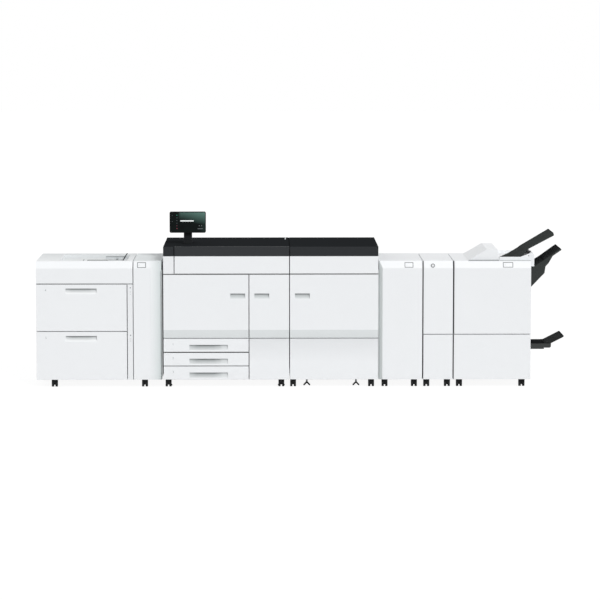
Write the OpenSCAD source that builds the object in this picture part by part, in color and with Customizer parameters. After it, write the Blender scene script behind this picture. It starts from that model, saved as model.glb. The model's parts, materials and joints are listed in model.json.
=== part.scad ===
// Digital production printer: a line of six docked cabinets, from sheet feeder to finisher.
// X runs along the line, the front faces -Y, and the floor is Z = 0 under the middle of the line.

/* [Cabinets] */
// Depth of the two engine cabinets
engine_depth = 900; // [840:5:1000]
// Depth of the feeding and finishing cabinets
cabinet_depth = 720; // [680:5:780]
// Clear height under the cabinets
caster_h = 59; // [56:1:70]
// Height of the feeding and finishing cabinets above their casters
cabinet_h = 942; // [920:2:980]
// Gap between neighbouring panels
seam = 6; // [5:0.5:8]
// Thickness of doors and front panels
panel_t = 26; // [24:0.5:32]
// Gap between a front panel and the frame behind it
panel_gap = 3; // [3:0.5:5]
// Thickness of the frames' walls and shelves
wall = 12; // [10:0.5:16]
// Height of the bevel on the cabinets' top front edge
bevel_h = 56; // [40:1:70]
// Depth of that bevel
bevel_d = 24; // [16:1:26]
// Distance from a door's back to the front bearing plates
plate_set = 60; // [50:1:90]
// Distance from the front bearing plates to the rear ones
plate_span = 500; // [460:5:540]
// Height of the paper path above the cabinets' floor
path_h = 640; // [600:5:700]
// Height of a paper slot
slot_h = 12; // [10:1:20]
// Width of a paper slot, front to back
slot_w = 340; // [320:5:360]

/* [Hinges and handles] */
// Distance from a door's edge and face to its hinge pin
hinge_in = 8; // [7.5:0.25:10]
// Radius of a hinge lug
lug_r = 5.5; // [5:0.25:6]
// Height of a hinge lug
lug_h = 16; // [12:1:24]
// Radius of a hinge pin
pin_r = 3; // [2.5:0.25:3.5]
// Length of a hinge pin on each side of its lug
pin_l = 12; // [8:0.5:18]
// Radial clearance of pins and shafts in their bores
fit = 0.05; // [0.02:0.01:0.09]
// Clearance between pieces that move past each other
clear = 0.4; // [0.3:0.05:0.6]
// Depth of a handle pocket
pocket_d = 14; // [10:0.5:16]
// Height of a handle pocket
pocket_h = 43; // [34:1:50]
// Thickness of the lip over a handle pocket
lip_t = 4; // [3:0.5:5]
// Height of the finger space behind that lip
lip_rise = 9; // [6:0.5:14]

/* [Feeder] */
// Width of the feeder
feeder_w = 993; // [960:1:1040]
// Width of the two large drawers
drawer_w = 720; // [690:1:740]
// Width of the fixed strip beside them
strip_w = 47; // [40:1:60]
// Height of the lower drawer
lower_drawer_h = 387; // [360:1:400]
// Height of the upper drawer
upper_drawer_h = 376; // [350:1:390]
// Depth of the large drawers' boxes
drawer_box_d = 600; // [560:5:620]
// Height of the large drawers' boxes
drawer_box_h = 250; // [220:5:260]
// Depth of the bypass recess in the top cover
recess_d = 22; // [18:1:28]
// Width of the bypass recess
recess_w = 530; // [500:5:540]
// Length of the bypass recess, front to back
recess_l = 520; // [480:5:540]
// Height of a bypass paper guide
guide_h = 16; // [12:1:17]
// Length of a bypass paper guide
guide_l = 190; // [150:5:220]
// Height of a feed head
head_h = 46; // [36:1:50]
// Gap between the feeder and the engine
dock_gap = 9; // [7:0.5:12]
// Width of the transport door's rounded edge
round_w = 87; // [70:1:100]
// Radius of the transport door's rounded edge
round_r = 183; // [170:1:240]

/* [Engine] */
// Width of the imaging cabinet
imaging_w = 998; // [970:1:1040]
// Width of the imaging cabinet's left door and of its trays
left_door_w = 678; // [650:1:690]
// Width of the fixed corner beside the toner cover
corner_w = 89; // [70:1:110]
// Width of the fusing cabinet
fusing_w = 703; // [680:1:740]
// Height of the zone with the three trays
tray_zone_h = 330; // [318:1:345]
// Height of the zone with the doors
door_zone_h = 510; // [490:1:530]
// Height of the white band above the doors
band_h = 141; // [130:1:150]
// Height of the black tops
top_h = 76; // [66:1:86]
// Height of the slanted foot of the doors
slant_h = 68; // [50:1:80]
// Depth of that slant
slant_d = 8; // [6:0.5:9]
// Depth of the tray boxes
tray_box_d = 520; // [480:5:560]
// Height of the tray boxes
tray_box_h = 62; // [50:1:66]
// Radius of a photoreceptor drum
drum_r = 42; // [36:0.5:46]
// Distance between neighbouring drums
drum_pitch = 130; // [124:1:134]
// Radius of the belt's rollers
belt_roller_r = 30; // [26:0.5:32]
// Thickness of the transfer belt
belt_t = 2; // [1.5:0.1:3]
// Radius of a toner cartridge
toner_r = 46; // [40:0.5:50]
// Length of a toner cartridge
toner_l = 520; // [480:5:560]
// Radius of the heat roll
heat_r = 46; // [40:0.5:50]
// Radius of the pressure roll
press_r = 40; // [36:0.5:44]
// Radius of the rollers' shafts
shaft_r = 8; // [7:0.25:10]

/* [Console] */
// Width of the console
console_w = 288; // [270:1:310]
// Height of the console
console_h = 168; // [155:1:180]
// Thickness of the console
console_t = 30; // [24:0.5:34]
// Corner radius of the console
console_r = 12; // [8:0.5:16]
// Distance of the console's back from the front of the line
console_set = 266; // [240:2:300]
// Height of the console's lower edge above the black top
console_lift = 91; // [85:1:100]
// Width of the post
post_w = 65; // [56:1:72]
// Depth of the post
post_d = 45; // [40:1:50]
// Height of the fixed foot of the post
post_h = 34; // [28:1:40]
// Thickness of the screen glass
glass_t = 3; // [2:0.1:4]

/* [Finishing line] */
// Width of the decurler
decurler_w = 348; // [330:1:370]
// Width of the chamfer on the decurler's left edge
chamfer_w = 28; // [20:1:32]
// Width of the folder
folder_w = 241; // [236:1:260]
// Width of the finisher
finisher_w = 616; // [600:1:640]
// Height of the fixed lower covers
lower_cover_h = 361; // [340:1:380]
// Radius of the large rollers in the decurler and folder
roll_r = 24; // [18:0.5:26]
// Radius of the small roller in the decurler
small_roll_r = 16; // [12:0.5:20]
// Radius of the folder's ring button
button_r = 15; // [12:0.5:18]
// Travel of the folder's ring button
button_travel = 3; // [2:0.25:4]
// Height of the hood on the finisher
hood_h = 87; // [80:1:95]
// Width of the hood
hood_w = 244; // [230:1:250]
// Wall thickness of plastic shells
shell_t = 6; // [5:0.5:8]
// Width of the tray bay beside the hood
bay_w = 250; // [240:1:252]
// Height of the tray bay's low wall
bay_h = 27; // [22:1:32]
// Width of the bracket that overhangs the finisher's side
bracket_w = 26; // [22:1:30]
// Reach of the top tray, from the hood to its tip
top_tray_l = 433; // [410:1:450]
// Rise of the top tray
top_tray_rise = 207; // [190:1:215]
// Width of the output trays, front to back
out_tray_w = 400; // [380:5:420]
// Reach of the stacker tray beside the finisher
stacker_l = 244; // [230:1:255]
// Rise of the stacker tray from its foot to its tip
stacker_rise = 314; // [298:1:328]
// Height of the stacker tray's foot above the cabinets' floor
stacker_foot_h = 720; // [712:1:732]
// Length of the booklet tray's box
booklet_l = 118; // [108:1:128]
// Height of the booklet tray's box
booklet_h = 44; // [40:1:48]
// Height of the booklet tray above the cabinets' floor
booklet_lift = 225; // [210:1:240]
// Width of the booklet tray, front to back
booklet_w = 300; // [280:5:320]
// Length of the booklet flap's plate
flap_l = 147; // [135:1:160]
// Thickness of the booklet flap
flap_t = 20; // [16:0.5:24]
// Slope of the booklet flap
flap_slope = 27; // [20:1:32]

/* [Casters and feet] */
// Radius of a caster wheel
wheel_r = 26; // [24:0.5:27]
// Width of a caster wheel
wheel_w = 17; // [14:0.5:18]
// Gap between the two wheels of a caster
wheel_gap = 12; // [10:0.5:14]
// Radius of a caster's axle
axle_r = 5; // [4:0.25:6]
// Distance from the front and rear faces to the casters
caster_in = 62; // [60:1:90]
// Half the spread of a levelling foot's legs
pad_r = 27; // [22:0.5:30]
// Thickness of a levelling foot's splayed legs
pad_h = 8; // [7:0.5:12]
// Radius of a levelling foot's threaded post
foot_post_r = 7; // [5:0.25:9]
// Height at which a levelling foot's two splayed legs meet
leg_rise = 27; // [22:1:30]

/* [Hidden] */

$fn = 48;

// How far a cut runs past the face that it opens
over = 2;

// Places along the line
flap_in = 17;
flap_pivot_dx = booklet_l + flap_in;
flap_r = flap_t / 2;
line_w = feeder_w + dock_gap + imaging_w + fusing_w + decurler_w + folder_w + finisher_w;
half_seam = seam / 2;
total_w = line_w - half_seam + flap_pivot_dx + flap_l * cos(flap_slope) + flap_r;
x_feeder = -total_w / 2 - half_seam;
x_strip = x_feeder + drawer_w;
x_transport = x_strip + strip_w;
x_feeder_end = x_feeder + feeder_w;
x_imaging = x_feeder_end + dock_gap;
x_corner = x_imaging + corner_w;
x_divider = x_imaging + left_door_w;
x_fusing = x_imaging + imaging_w;
x_decurler = x_fusing + fusing_w;
x_folder = x_decurler + decurler_w;
x_finisher = x_folder + folder_w;
x_end = x_finisher + finisher_w;

// Places front to back
front_y = -engine_depth / 2;
engine_rear_y = engine_depth / 2;
cabinet_rear_y = front_y + cabinet_depth;
back_y = front_y + panel_t;
frame_y = back_y + panel_gap;
low_front_y = front_y + slant_d;
pivot_y = front_y + hinge_in;
plate_y = back_y + plate_set;
plate_rear_y = plate_y + plate_span;
path_y = (plate_y + plate_rear_y) / 2;
slot_y0 = path_y - slot_w / 2;
slot_y1 = path_y + slot_w / 2;

// Heights
base_z = caster_h;
top_z = base_z + cabinet_h;
bevel_z = top_z - bevel_h;
drawer_z = base_z + lower_drawer_h;
cover_z = drawer_z + upper_drawer_h;
door_z = base_z + tray_zone_h;
band_z = door_z + door_zone_h;
black_z = band_z + band_h;
engine_top_z = black_z + top_h;
lower_cover_z = base_z + lower_cover_h;
path_z = base_z + path_h;

// Shares that place details on the panels that carry them
hinge_share = 0.12;
pocket_floor_share = 0.45;
inside_share = 0.5;

// Basic shapes, each between two coordinates

module block(a, b) {
    translate(a) cube(b - a);
}

module rod_x(x0, x1, y, z, r) {
    translate([x0, y, z]) rotate([0, 90, 0]) cylinder(h = x1 - x0, r = r);
}

module rod_y(y0, y1, x, z, r) {
    translate([x, y1, z]) rotate([90, 0, 0]) cylinder(h = y1 - y0, r = r);
}

module rod_z(z0, z1, x, y, r) {
    translate([x, y, z0]) cylinder(h = z1 - z0, r = r);
}

// An outline in Y and Z, drawn out along X
module prism_x(x0, x1, outline) {
    translate([x0, 0, 0]) rotate([90, 0, 90]) linear_extrude(x1 - x0) polygon(outline);
}

// An outline in X and Z, drawn out along Y
module prism_y(y0, y1, outline) {
    translate([0, y1, 0]) rotate([90, 0, 0]) linear_extrude(y1 - y0) polygon(outline);
}

// The bent front line of a cabinet: upright, then leaning back over the bevel
function bent_line(y, z0) = [[y, z0], [y, bevel_z], [y + bevel_d, top_z]];

// A line in Y and Z, thickened towards the rear
function thick_line(line, t) =
    concat(line, [for (i = [len(line) - 1:-1:0]) line[i] + [t, 0]]);

// Hinges: lugs with pins on the frames, notches with bores in the doors

function hinge_zs(z0, z1) = [z0 + (z1 - z0) * hinge_share, z1 - (z1 - z0) * hinge_share];
engine_hinge_zs = hinge_zs(door_z + slant_h, band_z);
function hinge_x(x_edge, side) = x_edge - side * (half_seam + hinge_in);

module hinge_lugs(x, zs) {
    for (z = zs) {
        rod_z(z - lug_h / 2, z + lug_h / 2, x, pivot_y, lug_r);
        block([x - lug_r, pivot_y, z - lug_h / 2], [x + lug_r, frame_y + wall, z + lug_h / 2]);
        rod_z(z - lug_h / 2 - pin_l, z + lug_h / 2 + pin_l, x, pivot_y, pin_r);
    }
}

// side is 1 for a door hinged at its right edge, and -1 at its left
module hinge_cuts(x, side, zs) {
    x_in = x - side * (lug_r + clear);
    x_out = x + side * (hinge_in + over);
    for (z = zs) {
        block([min(x_in, x_out), pivot_y - lug_r - clear, z - lug_h / 2 - clear],
            [max(x_in, x_out), frame_y + over, z + lug_h / 2 + clear]);
        rod_z(z - lug_h / 2 - pin_l - over, z + lug_h / 2 + pin_l + over, x, pivot_y, pin_r + fit);
    }
}

// A handle pocket: a finger space behind the lip, and a floor that slopes out to the face
module pocket_cut(x0, x1, y, z, depth) {
    prism_x(x0, x1, [[y - over, z], [y + lip_t, z], [y + lip_t, z + lip_rise],
        [y + depth, z + lip_rise], [y + depth, z - pocket_h * pocket_floor_share],
        [y, z - pocket_h], [y - over, z - pocket_h]]);
}

// Drawers and trays: a front, a tub behind it and a runner on each side

rail_w = 22;
rail_t = 10;
tub_t = 4;
tub_lift = 22;
runner_t = 8;

// A bay is given by the inner faces of its two side walls
drawer_bay = [x_feeder + half_seam + wall, x_strip + half_seam];
tray_bay_x = [x_imaging + half_seam + wall, x_divider - half_seam];

function rail_z(z0) = z0 + tub_lift + rail_t;
function tub_x0(bay) = bay[0] + rail_w + clear * 2;
function tub_x1(bay) = bay[1] - rail_w - clear * 2;

module drawer(x0, x1, bay, y, z0, z1, box_d, box_h) {
    floor_z = rail_z(z0) + clear;
    block([x0 + half_seam, y, z0 + half_seam], [x1 - half_seam, back_y, z1 - half_seam]);
    difference() {
        block([tub_x0(bay), back_y - over, floor_z], [tub_x1(bay), back_y + box_d, floor_z + box_h]);
        block([tub_x0(bay) + tub_t, back_y + tub_t, floor_z + tub_t],
            [tub_x1(bay) - tub_t, back_y + box_d - tub_t, floor_z + box_h + over]);
    }
    for (x = [tub_x0(bay) - rail_w, tub_x1(bay) - over])
        block([x, frame_y + clear, floor_z], [x + rail_w + over, back_y + box_d, floor_z + runner_t]);
}

// The two rails that a drawer's runners slide on, fixed to the walls of its bay
module rails(bay, z0, box_d) {
    for (x = [bay[0] - over, bay[1] - rail_w])
        block([x, frame_y, rail_z(z0) - rail_t], [x + rail_w + over, back_y + box_d, rail_z(z0)]);
}

// Rollers and drums run in bores of a front and a rear bearing plate

module bearing_plates(x0, x1, z0, z1, bores) {
    for (y = [plate_y, plate_rear_y - wall]) difference() {
        block([x0, y, z0], [x1, y + wall, z1]);
        for (b = bores) rod_y(y - over, y + wall + over, b[0], b[1], shaft_r + fit);
    }
}

roller_gap = 5;
shaft_end = 6;

module roller(x, z, r) {
    rod_y(plate_y + wall + roller_gap, plate_rear_y - wall - roller_gap, x, z, r);
    rod_y(plate_y - shaft_end, plate_rear_y + shaft_end, x, z, shaft_r);
}

// Two short pins that join a cabinet to the next one
dock_r = 12;
dock_low_share = 0.2;
dock_high_share = 0.75;

module docking(x0, x1) {
    for (s = [dock_low_share, dock_high_share])
        rod_x(x0, x1, path_y, base_z + cabinet_h * s, dock_r);
}

// A rear wall has a group of cooling slots in the middle of each bay
vent_l_share = 0.5;
vent_rise = 90;
vent_h = 8;
vent_pitch = 24;

module rear_vent(x0, x1, z0, rear_y) {
    margin = (x1 - x0) * (1 - vent_l_share) / 2;
    for (i = [0:3]) block([x0 + margin, rear_y - wall - over, z0 + vent_rise + i * vent_pitch],
        [x1 - margin, rear_y + over, z0 + vent_rise + i * vent_pitch + vent_h]);
}

// Feeder

bay_wall_x = x_strip + half_seam;
transport_wall_x = x_transport + half_seam;

module feeder_frame() color("gainsboro") {
    left = x_feeder + half_seam;
    right = x_feeder_end - half_seam;
    difference() {
        union() {
            block([left, frame_y, base_z], [transport_wall_x + wall, cabinet_rear_y, cover_z]);
            prism_x(transport_wall_x, right, concat(bent_line(frame_y, base_z),
                [[cabinet_rear_y, top_z], [cabinet_rear_y, base_z]]));
        }
        block([left + wall, front_y, base_z + wall],
            [bay_wall_x, cabinet_rear_y - wall, drawer_z - wall / 2]);
        block([left + wall, front_y, drawer_z + wall / 2],
            [bay_wall_x, cabinet_rear_y - wall, cover_z - wall]);
        block([bay_wall_x + wall, frame_y + wall, base_z + wall],
            [transport_wall_x + wall + over, cabinet_rear_y - wall, cover_z - wall]);
        block([transport_wall_x + wall, front_y, base_z + wall],
            [right - wall, cabinet_rear_y - wall, top_z - wall]);
        block([right - wall - over, slot_y0, path_z], [right + over, slot_y1, path_z + slot_h]);
        bypass_slot();
        rear_vent(transport_wall_x + wall, right - wall, base_z, cabinet_rear_y);
    }
    // the fixed strip between the drawers and the door
    block([x_strip + half_seam, front_y, base_z + half_seam],
        [x_transport - half_seam, frame_y + wall, cover_z - half_seam]);
    rails(drawer_bay, base_z, drawer_box_d);
    rails(drawer_bay, drawer_z, drawer_box_d);
    hinge_lugs(hinge_x(x_transport, -1), hinge_zs(base_z, bevel_z));
    docking(right - over, x_imaging + half_seam);
}

recess_x1 = x_transport - half_seam - strip_w;
recess_x0 = recess_x1 - recess_w;
recess_y0 = path_y - recess_l / 2;
recess_y1 = path_y + recess_l / 2;
recess_z = top_z - recess_d;
bypass_low_share = 0.25;
bypass_high_share = 0.75;
bypass_z0 = recess_z + guide_h * bypass_low_share;
bypass_z1 = recess_z + guide_h * bypass_high_share;

// The slot through which sheets on the bypass enter the transport cabinet
module bypass_slot() {
    block([recess_x1 - over, path_y - slot_w / 2, bypass_z0],
        [transport_wall_x + wall + over, path_y + slot_w / 2, bypass_z1]);
}

module feeder_top_cover() color("whitesmoke") {
    x0 = x_feeder + half_seam;
    x1 = x_transport - half_seam;
    difference() {
        prism_x(x0, x1, concat(bent_line(front_y, cover_z + half_seam),
            [[cabinet_rear_y, top_z], [cabinet_rear_y, cover_z],
            [frame_y, cover_z], [frame_y, cover_z + half_seam]]));
        difference() {
            block([x0 + shell_t, frame_y, cover_z - over],
                [x1 - shell_t, cabinet_rear_y - shell_t, top_z - shell_t]);
            block([recess_x0 - shell_t, recess_y0 - shell_t, recess_z - shell_t],
                [x1, recess_y1 + shell_t, top_z]);
        }
        block([recess_x0, recess_y0, recess_z], [recess_x1, recess_y1, top_z + over]);
        bypass_slot();
        rear_vent(x0, x1, cover_z - vent_rise + vent_pitch, cabinet_rear_y);
        for (y = [guide_front_y, guide_rear_y])
            block([guide_x + guide_l * slide_low_share, slide_y0(y), recess_z - shell_t - over],
                [guide_x + guide_l * slide_high_share, slide_y1(y), recess_z + over]);
    }
}

// The bypass guides slide front to back, each with a foot in a slit of the recess floor
guide_t = 8;
guide_foot_t = 12;
guide_travel = 90;
guide_spread = 148;
slide_low_share = 0.45;
slide_high_share = 0.55;
guide_x = recess_x1 - guide_l - over;
guide_front_y = path_y - guide_spread - guide_t;
guide_rear_y = path_y + guide_spread;

function slide_y0(y) = y < path_y ? y - clear : y - guide_travel - clear;
function slide_y1(y) = y < path_y ? y + guide_t + guide_travel + clear : y + guide_t + clear;

module bypass_guide(y) color("dimgray") {
    foot_x0 = guide_x + guide_l * slide_low_share + clear;
    foot_x1 = guide_x + guide_l * slide_high_share - clear;
    block([guide_x, y, recess_z + clear / 2], [guide_x + guide_l, y + guide_t, recess_z + guide_h]);
    block([foot_x0, y, recess_z - shell_t - guide_foot_t], [foot_x1, y + guide_t, recess_z + guide_h]);
}

module bypass_guide_front() bypass_guide(guide_front_y);
module bypass_guide_rear() bypass_guide(guide_rear_y);

module feeder_door() color("whitesmoke") {
    x0 = x_transport + half_seam;
    x1 = x_feeder_end - half_seam;
    zs = hinge_zs(base_z, bevel_z);
    difference() {
        intersection() {
            prism_x(x0, x1, thick_line(bent_line(front_y, base_z + half_seam), panel_t));
            union() {
                block([x0, front_y - over, base_z], [x1 - round_w, frame_y + bevel_d, top_z + over]);
                rod_z(base_z, top_z + over, x1 - round_w, front_y + round_r, round_r);
            }
        }
        hinge_cuts(hinge_x(x_transport, -1), -1, zs);
    }
}

pocket_l_share = 0.34;
pocket_x_share = 0.327;
drawer_pocket_drop = 36;

module big_drawer(z0, z1) color("whitesmoke") difference() {
    drawer(x_feeder, x_strip, drawer_bay, front_y, z0, z1, drawer_box_d, drawer_box_h);
    pocket_cut(x_feeder + drawer_w * pocket_x_share,
        x_feeder + drawer_w * (pocket_x_share + pocket_l_share), front_y, z1 - drawer_pocket_drop, pocket_d);
}

module lower_drawer() big_drawer(base_z, drawer_z);
module upper_drawer() big_drawer(drawer_z, cover_z);

plate_t = 3;
plate_side = 10;

module lift_plate(z0) color("silver") {
    z = rail_z(z0) + clear + tub_t + clear / 2;
    block([tub_x0(drawer_bay) + tub_t + plate_side, back_y + tub_t + plate_side, z],
        [tub_x1(drawer_bay) - tub_t - plate_side, back_y + drawer_box_d - tub_t - plate_side, z + plate_t]);
}

module lower_lift_plate() lift_plate(base_z);
module upper_lift_plate() lift_plate(drawer_z);

head_w = 180;
head_l = 260;
head_roll_r = 14;

// A feed head hangs under the ceiling of each drawer bay, at the side of the transport cabinet
module feed_head(ceiling_z) {
    x1 = bay_wall_x - rail_w;
    x0 = x1 - head_w;
    y0 = path_y - head_l / 2;
    block([x0, y0, ceiling_z - head_h], [x1, y0 + head_l, ceiling_z]);
    for (x = [x0 + head_roll_r * 2, x1 - head_roll_r * 2])
        rod_y(y0 + head_roll_r, y0 + head_l - head_roll_r, x, ceiling_z - head_h, head_roll_r);
}

module feed_heads() color("dimgray") {
    feed_head(drawer_z - wall / 2);
    feed_head(cover_z - wall);
}

// Imaging cabinet

imaging_left = x_imaging + half_seam;
imaging_right = x_fusing - half_seam;
drum_first = 120;
drum_xs = [for (i = [0:3]) x_imaging + drum_first + i * drum_pitch];
roll_touch = 0.3;
belt_r = belt_roller_r + roll_touch + belt_t;
belt_z = path_z + slot_h / 2 + belt_r;
drum_z = belt_z + belt_r + roll_touch + drum_r;
belt_x0 = drum_xs[0];
belt_x1 = drum_xs[3];
tray_h = tray_zone_h / 3;

module imaging_frame() color("gainsboro") {
    difference() {
        block([imaging_left, frame_y, base_z], [imaging_right, engine_rear_y, black_z]);
        block([imaging_left + wall, front_y, base_z + wall],
            [x_divider - half_seam, engine_rear_y - wall, door_z - wall / 2]);
        block([x_divider - half_seam + wall, frame_y - over, base_z + wall],
            [imaging_right - wall, engine_rear_y - wall, door_z - wall / 2]);
        block([imaging_left + wall, front_y, door_z + wall / 2],
            [x_divider - half_seam, engine_rear_y - wall, band_z - wall / 2]);
        block([x_divider - half_seam + wall, front_y, door_z + wall / 2],
            [imaging_right - wall, engine_rear_y - wall, band_z - wall / 2]);
        block([imaging_left + wall, front_y, band_z + wall / 2],
            [imaging_right - wall, engine_rear_y - wall, black_z + over]);
        rear_vent(x_divider, imaging_right, base_z, engine_rear_y);
        rear_vent(imaging_left, x_divider, door_z, engine_rear_y);
        block([imaging_left - over, slot_y0, path_z],
            [imaging_right + over, slot_y1, path_z + slot_h]);
    }
    // the white corner beside the toner cover
    block([imaging_left, front_y, band_z + half_seam],
        [x_corner - half_seam, frame_y + wall, black_z]);
    bearing_plates(imaging_left + wall - over, x_divider - half_seam + over, door_z, band_z,
        concat([for (x = drum_xs) [x, drum_z]], [[belt_x0, belt_z], [belt_x1, belt_z]]));
    bearing_plates(x_divider - half_seam + wall - over, imaging_right - wall + over, door_z, band_z, []);
    for (i = [0:2])
        rails(tray_bay_x, base_z + tray_h * i, tray_box_d);
    hinge_lugs(hinge_x(x_imaging, -1), engine_hinge_zs);
    hinge_lugs(hinge_x(x_fusing, 1), engine_hinge_zs);
    toner_lugs();
    docking(imaging_right - over, x_fusing + half_seam);
}

// The toner cover turns about two pins along its lower edge
toner_pivot_z = band_z + half_seam + hinge_in;
toner_lug_in = 60;
toner_lug_xs = [x_corner + toner_lug_in, x_fusing - toner_lug_in];

module toner_lugs() for (x = toner_lug_xs) {
    rod_x(x - lug_h / 2, x + lug_h / 2, pivot_y, toner_pivot_z, lug_r);
    block([x - lug_h / 2, pivot_y, toner_pivot_z - lug_r],
        [x + lug_h / 2, frame_y + wall, toner_pivot_z + lug_r]);
    block([x - lug_h / 2, frame_y, band_z], [x + lug_h / 2, frame_y + wall, toner_pivot_z + lug_r]);
    rod_x(x - lug_h / 2 - pin_l, x + lug_h / 2 + pin_l, pivot_y, toner_pivot_z, pin_r);
}

module toner_cover() color("whitesmoke") difference() {
    block([x_corner + half_seam, front_y, band_z + half_seam],
        [x_fusing - half_seam, back_y, engine_top_z]);
    for (x = toner_lug_xs) {
        block([x - lug_h / 2 - clear, pivot_y - lug_r - clear, band_z],
            [x + lug_h / 2 + clear, frame_y, toner_pivot_z + lug_r + clear]);
        rod_x(x - lug_h / 2 - pin_l - over, x + lug_h / 2 + pin_l + over,
            pivot_y, toner_pivot_z, pin_r + fit);
    }
}

// A black top is a hollow lid that sits on the cabinet's frame
module black_top(x0, x1) difference() {
    block([x0, frame_y, black_z], [x1, engine_rear_y, engine_top_z]);
    block([x0 + wall, frame_y - over, black_z - over],
        [x1 - wall, engine_rear_y - wall, engine_top_z - wall]);
}

module imaging_top() color("#26282a") {
    black_top(imaging_left, imaging_right);
    block([imaging_left, front_y, black_z], [x_corner - half_seam, frame_y + wall, engine_top_z]);
}

engine_pocket_drop = 154;
engine_pocket_in = 43;
left_pocket_share = 0.72;
engine_pocket_l = 116;

function engine_door_outline(z0, z1) = [[low_front_y, z0], [front_y, z0 + slant_h], [front_y, z1],
    [back_y, z1], [back_y, z0]];

// side is 1 for a door hinged at its right edge, and -1 at its left
module engine_door(x0, x1, side) color("whitesmoke") {
    pocket_x = side > 0 ? x0 + engine_pocket_in
        : x1 - engine_pocket_in * left_pocket_share - engine_pocket_l;
    difference() {
        prism_x(x0 + half_seam, x1 - half_seam,
            engine_door_outline(door_z + half_seam, band_z - half_seam));
        hinge_cuts(hinge_x(side > 0 ? x1 : x0, side), side, engine_hinge_zs);
        pocket_cut(pocket_x, pocket_x + engine_pocket_l, front_y, band_z - engine_pocket_drop, pocket_d);
    }
}

module imaging_left_door() engine_door(x_imaging, x_divider, -1);
module imaging_right_door() engine_door(x_divider, x_fusing, 1);

tray_pocket_x_share = 0.305;
tray_pocket_l_share = 0.447;
tray_pocket_drop = 52;
tray_deep_share = 0.2;
shallow_share = 0.7;

module paper_tray(level) color("whitesmoke") {
    z0 = base_z + tray_h * level;
    z1 = z0 + tray_h;
    x0 = x_imaging + left_door_w * tray_pocket_x_share;
    l = left_door_w * tray_pocket_l_share;
    difference() {
        drawer(x_imaging, x_divider, tray_bay_x, low_front_y, z0, z1, tray_box_d, tray_box_h);
        pocket_cut(x0, x0 + l, low_front_y, z1 - tray_pocket_drop, pocket_d * shallow_share);
        pocket_cut(x0 + l * tray_deep_share, x0 + l * (1 - tray_deep_share), low_front_y,
            z1 - tray_pocket_drop, pocket_d);
    }
}

module tray_3() paper_tray(0);
module tray_2() paper_tray(1);
module tray_1() paper_tray(2);

toner_z = band_z + wall / 2 + toner_r;
toner_pitch = 190;
toner_first = 190;
toner_foot_w = 50;
toner_gap = 12;
toner_y0 = frame_y + wall + toner_gap;

module toner_cartridges() color("#2b2d30") for (i = [0:3]) {
    x = x_imaging + toner_first + i * toner_pitch;
    rod_y(toner_y0, toner_y0 + toner_l, x, toner_z, toner_r);
    block([x - toner_foot_w / 2, toner_y0 + toner_gap, toner_z - toner_r],
        [x + toner_foot_w / 2, toner_y0 + toner_l - toner_gap, toner_z]);
}

module drum(i) color("#2f6f78") roller(drum_xs[i], drum_z, drum_r);

module drum_1() drum(0);
module drum_2() drum(1);
module drum_3() drum(2);
module drum_4() drum(3);

// The belt is a loop round its two rollers
module belt_loop(y0, y1, r) {
    rod_y(y0, y1, belt_x0, belt_z, r);
    rod_y(y0, y1, belt_x1, belt_z, r);
    block([belt_x0, y0, belt_z - r], [belt_x1, y1, belt_z + r]);
}

module transfer_belt() color("#3c2f2a") difference() {
    y0 = plate_y + wall + roller_gap * 2;
    y1 = plate_rear_y - wall - roller_gap * 2;
    belt_loop(y0, y1, belt_r);
    belt_loop(y0 - over, y1 + over, belt_r - belt_t);
}

module belt_drive_roller() color("silver") roller(belt_x1, belt_z, belt_roller_r);
module belt_idle_roller() color("silver") roller(belt_x0, belt_z, belt_roller_r);

// Console

console_x_share = 0.1914;
console_x = x_imaging + imaging_w * console_x_share;
console_back_y = front_y + console_set;
neck_gap = 8;
post_y = console_back_y + neck_gap + post_d / 2;
console_z0 = engine_top_z + console_lift;
neck_z = engine_top_z + post_h + clear / 2;
tilt_z = console_z0 + console_h * inside_share;
swivel_r = 10;
swivel_l = 30;
tilt_r = 8;
tilt_l = 14;
neck_cap = 14;
ear_t = 10;

// A slab with rounded corners, upright across the line
module round_slab(x0, x1, y0, y1, z0, z1, r) {
    block([x0 + r, y0, z0], [x1 - r, y1, z1]);
    block([x0, y0, z0 + r], [x1, y1, z1 - r]);
    for (x = [x0 + r, x1 - r], z = [z0 + r, z1 - r]) rod_y(y0, y1, x, z, r);
}

module console_post() color("#2a2c2e") {
    block([console_x - post_w / 2, post_y - post_d / 2, engine_top_z],
        [console_x + post_w / 2, post_y + post_d / 2, engine_top_z + post_h]);
    rod_z(engine_top_z, engine_top_z + post_h + swivel_l, console_x, post_y, swivel_r);
}

module console_neck() color("#2a2c2e") {
    difference() {
        block([console_x - post_w / 2, post_y - post_d / 2, neck_z],
            [console_x + post_w / 2, post_y + post_d / 2, tilt_z + neck_cap]);
        rod_z(neck_z - over, neck_z + swivel_l + over, console_x, post_y, swivel_r + fit);
    }
    rod_x(console_x - post_w / 2 - tilt_l, console_x + post_w / 2 + tilt_l, post_y, tilt_z, tilt_r);
}

module console_housing() color("#18191a") {
    x0 = console_x - console_w / 2;
    y0 = console_back_y - console_t;
    difference() {
        round_slab(x0, x0 + console_w, y0, console_back_y, console_z0, console_z0 + console_h, console_r);
        round_slab(x0 + shell_t, x0 + console_w - shell_t, y0 - over, y0 + glass_t,
            console_z0 + shell_t, console_z0 + console_h - shell_t, shell_t);
    }
    for (side = [-1, 1]) {
        x = console_x + side * (post_w / 2 + clear + ear_t / 2);
        difference() {
            union() {
                block([x - ear_t / 2, console_back_y - over, tilt_z - tilt_r * 2],
                    [x + ear_t / 2, post_y, tilt_z + tilt_r * 2]);
                rod_x(x - ear_t / 2, x + ear_t / 2, post_y, tilt_z, tilt_r * 2);
            }
            rod_x(x - ear_t, x + ear_t, post_y, tilt_z, tilt_r + fit);
        }
    }
}

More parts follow.
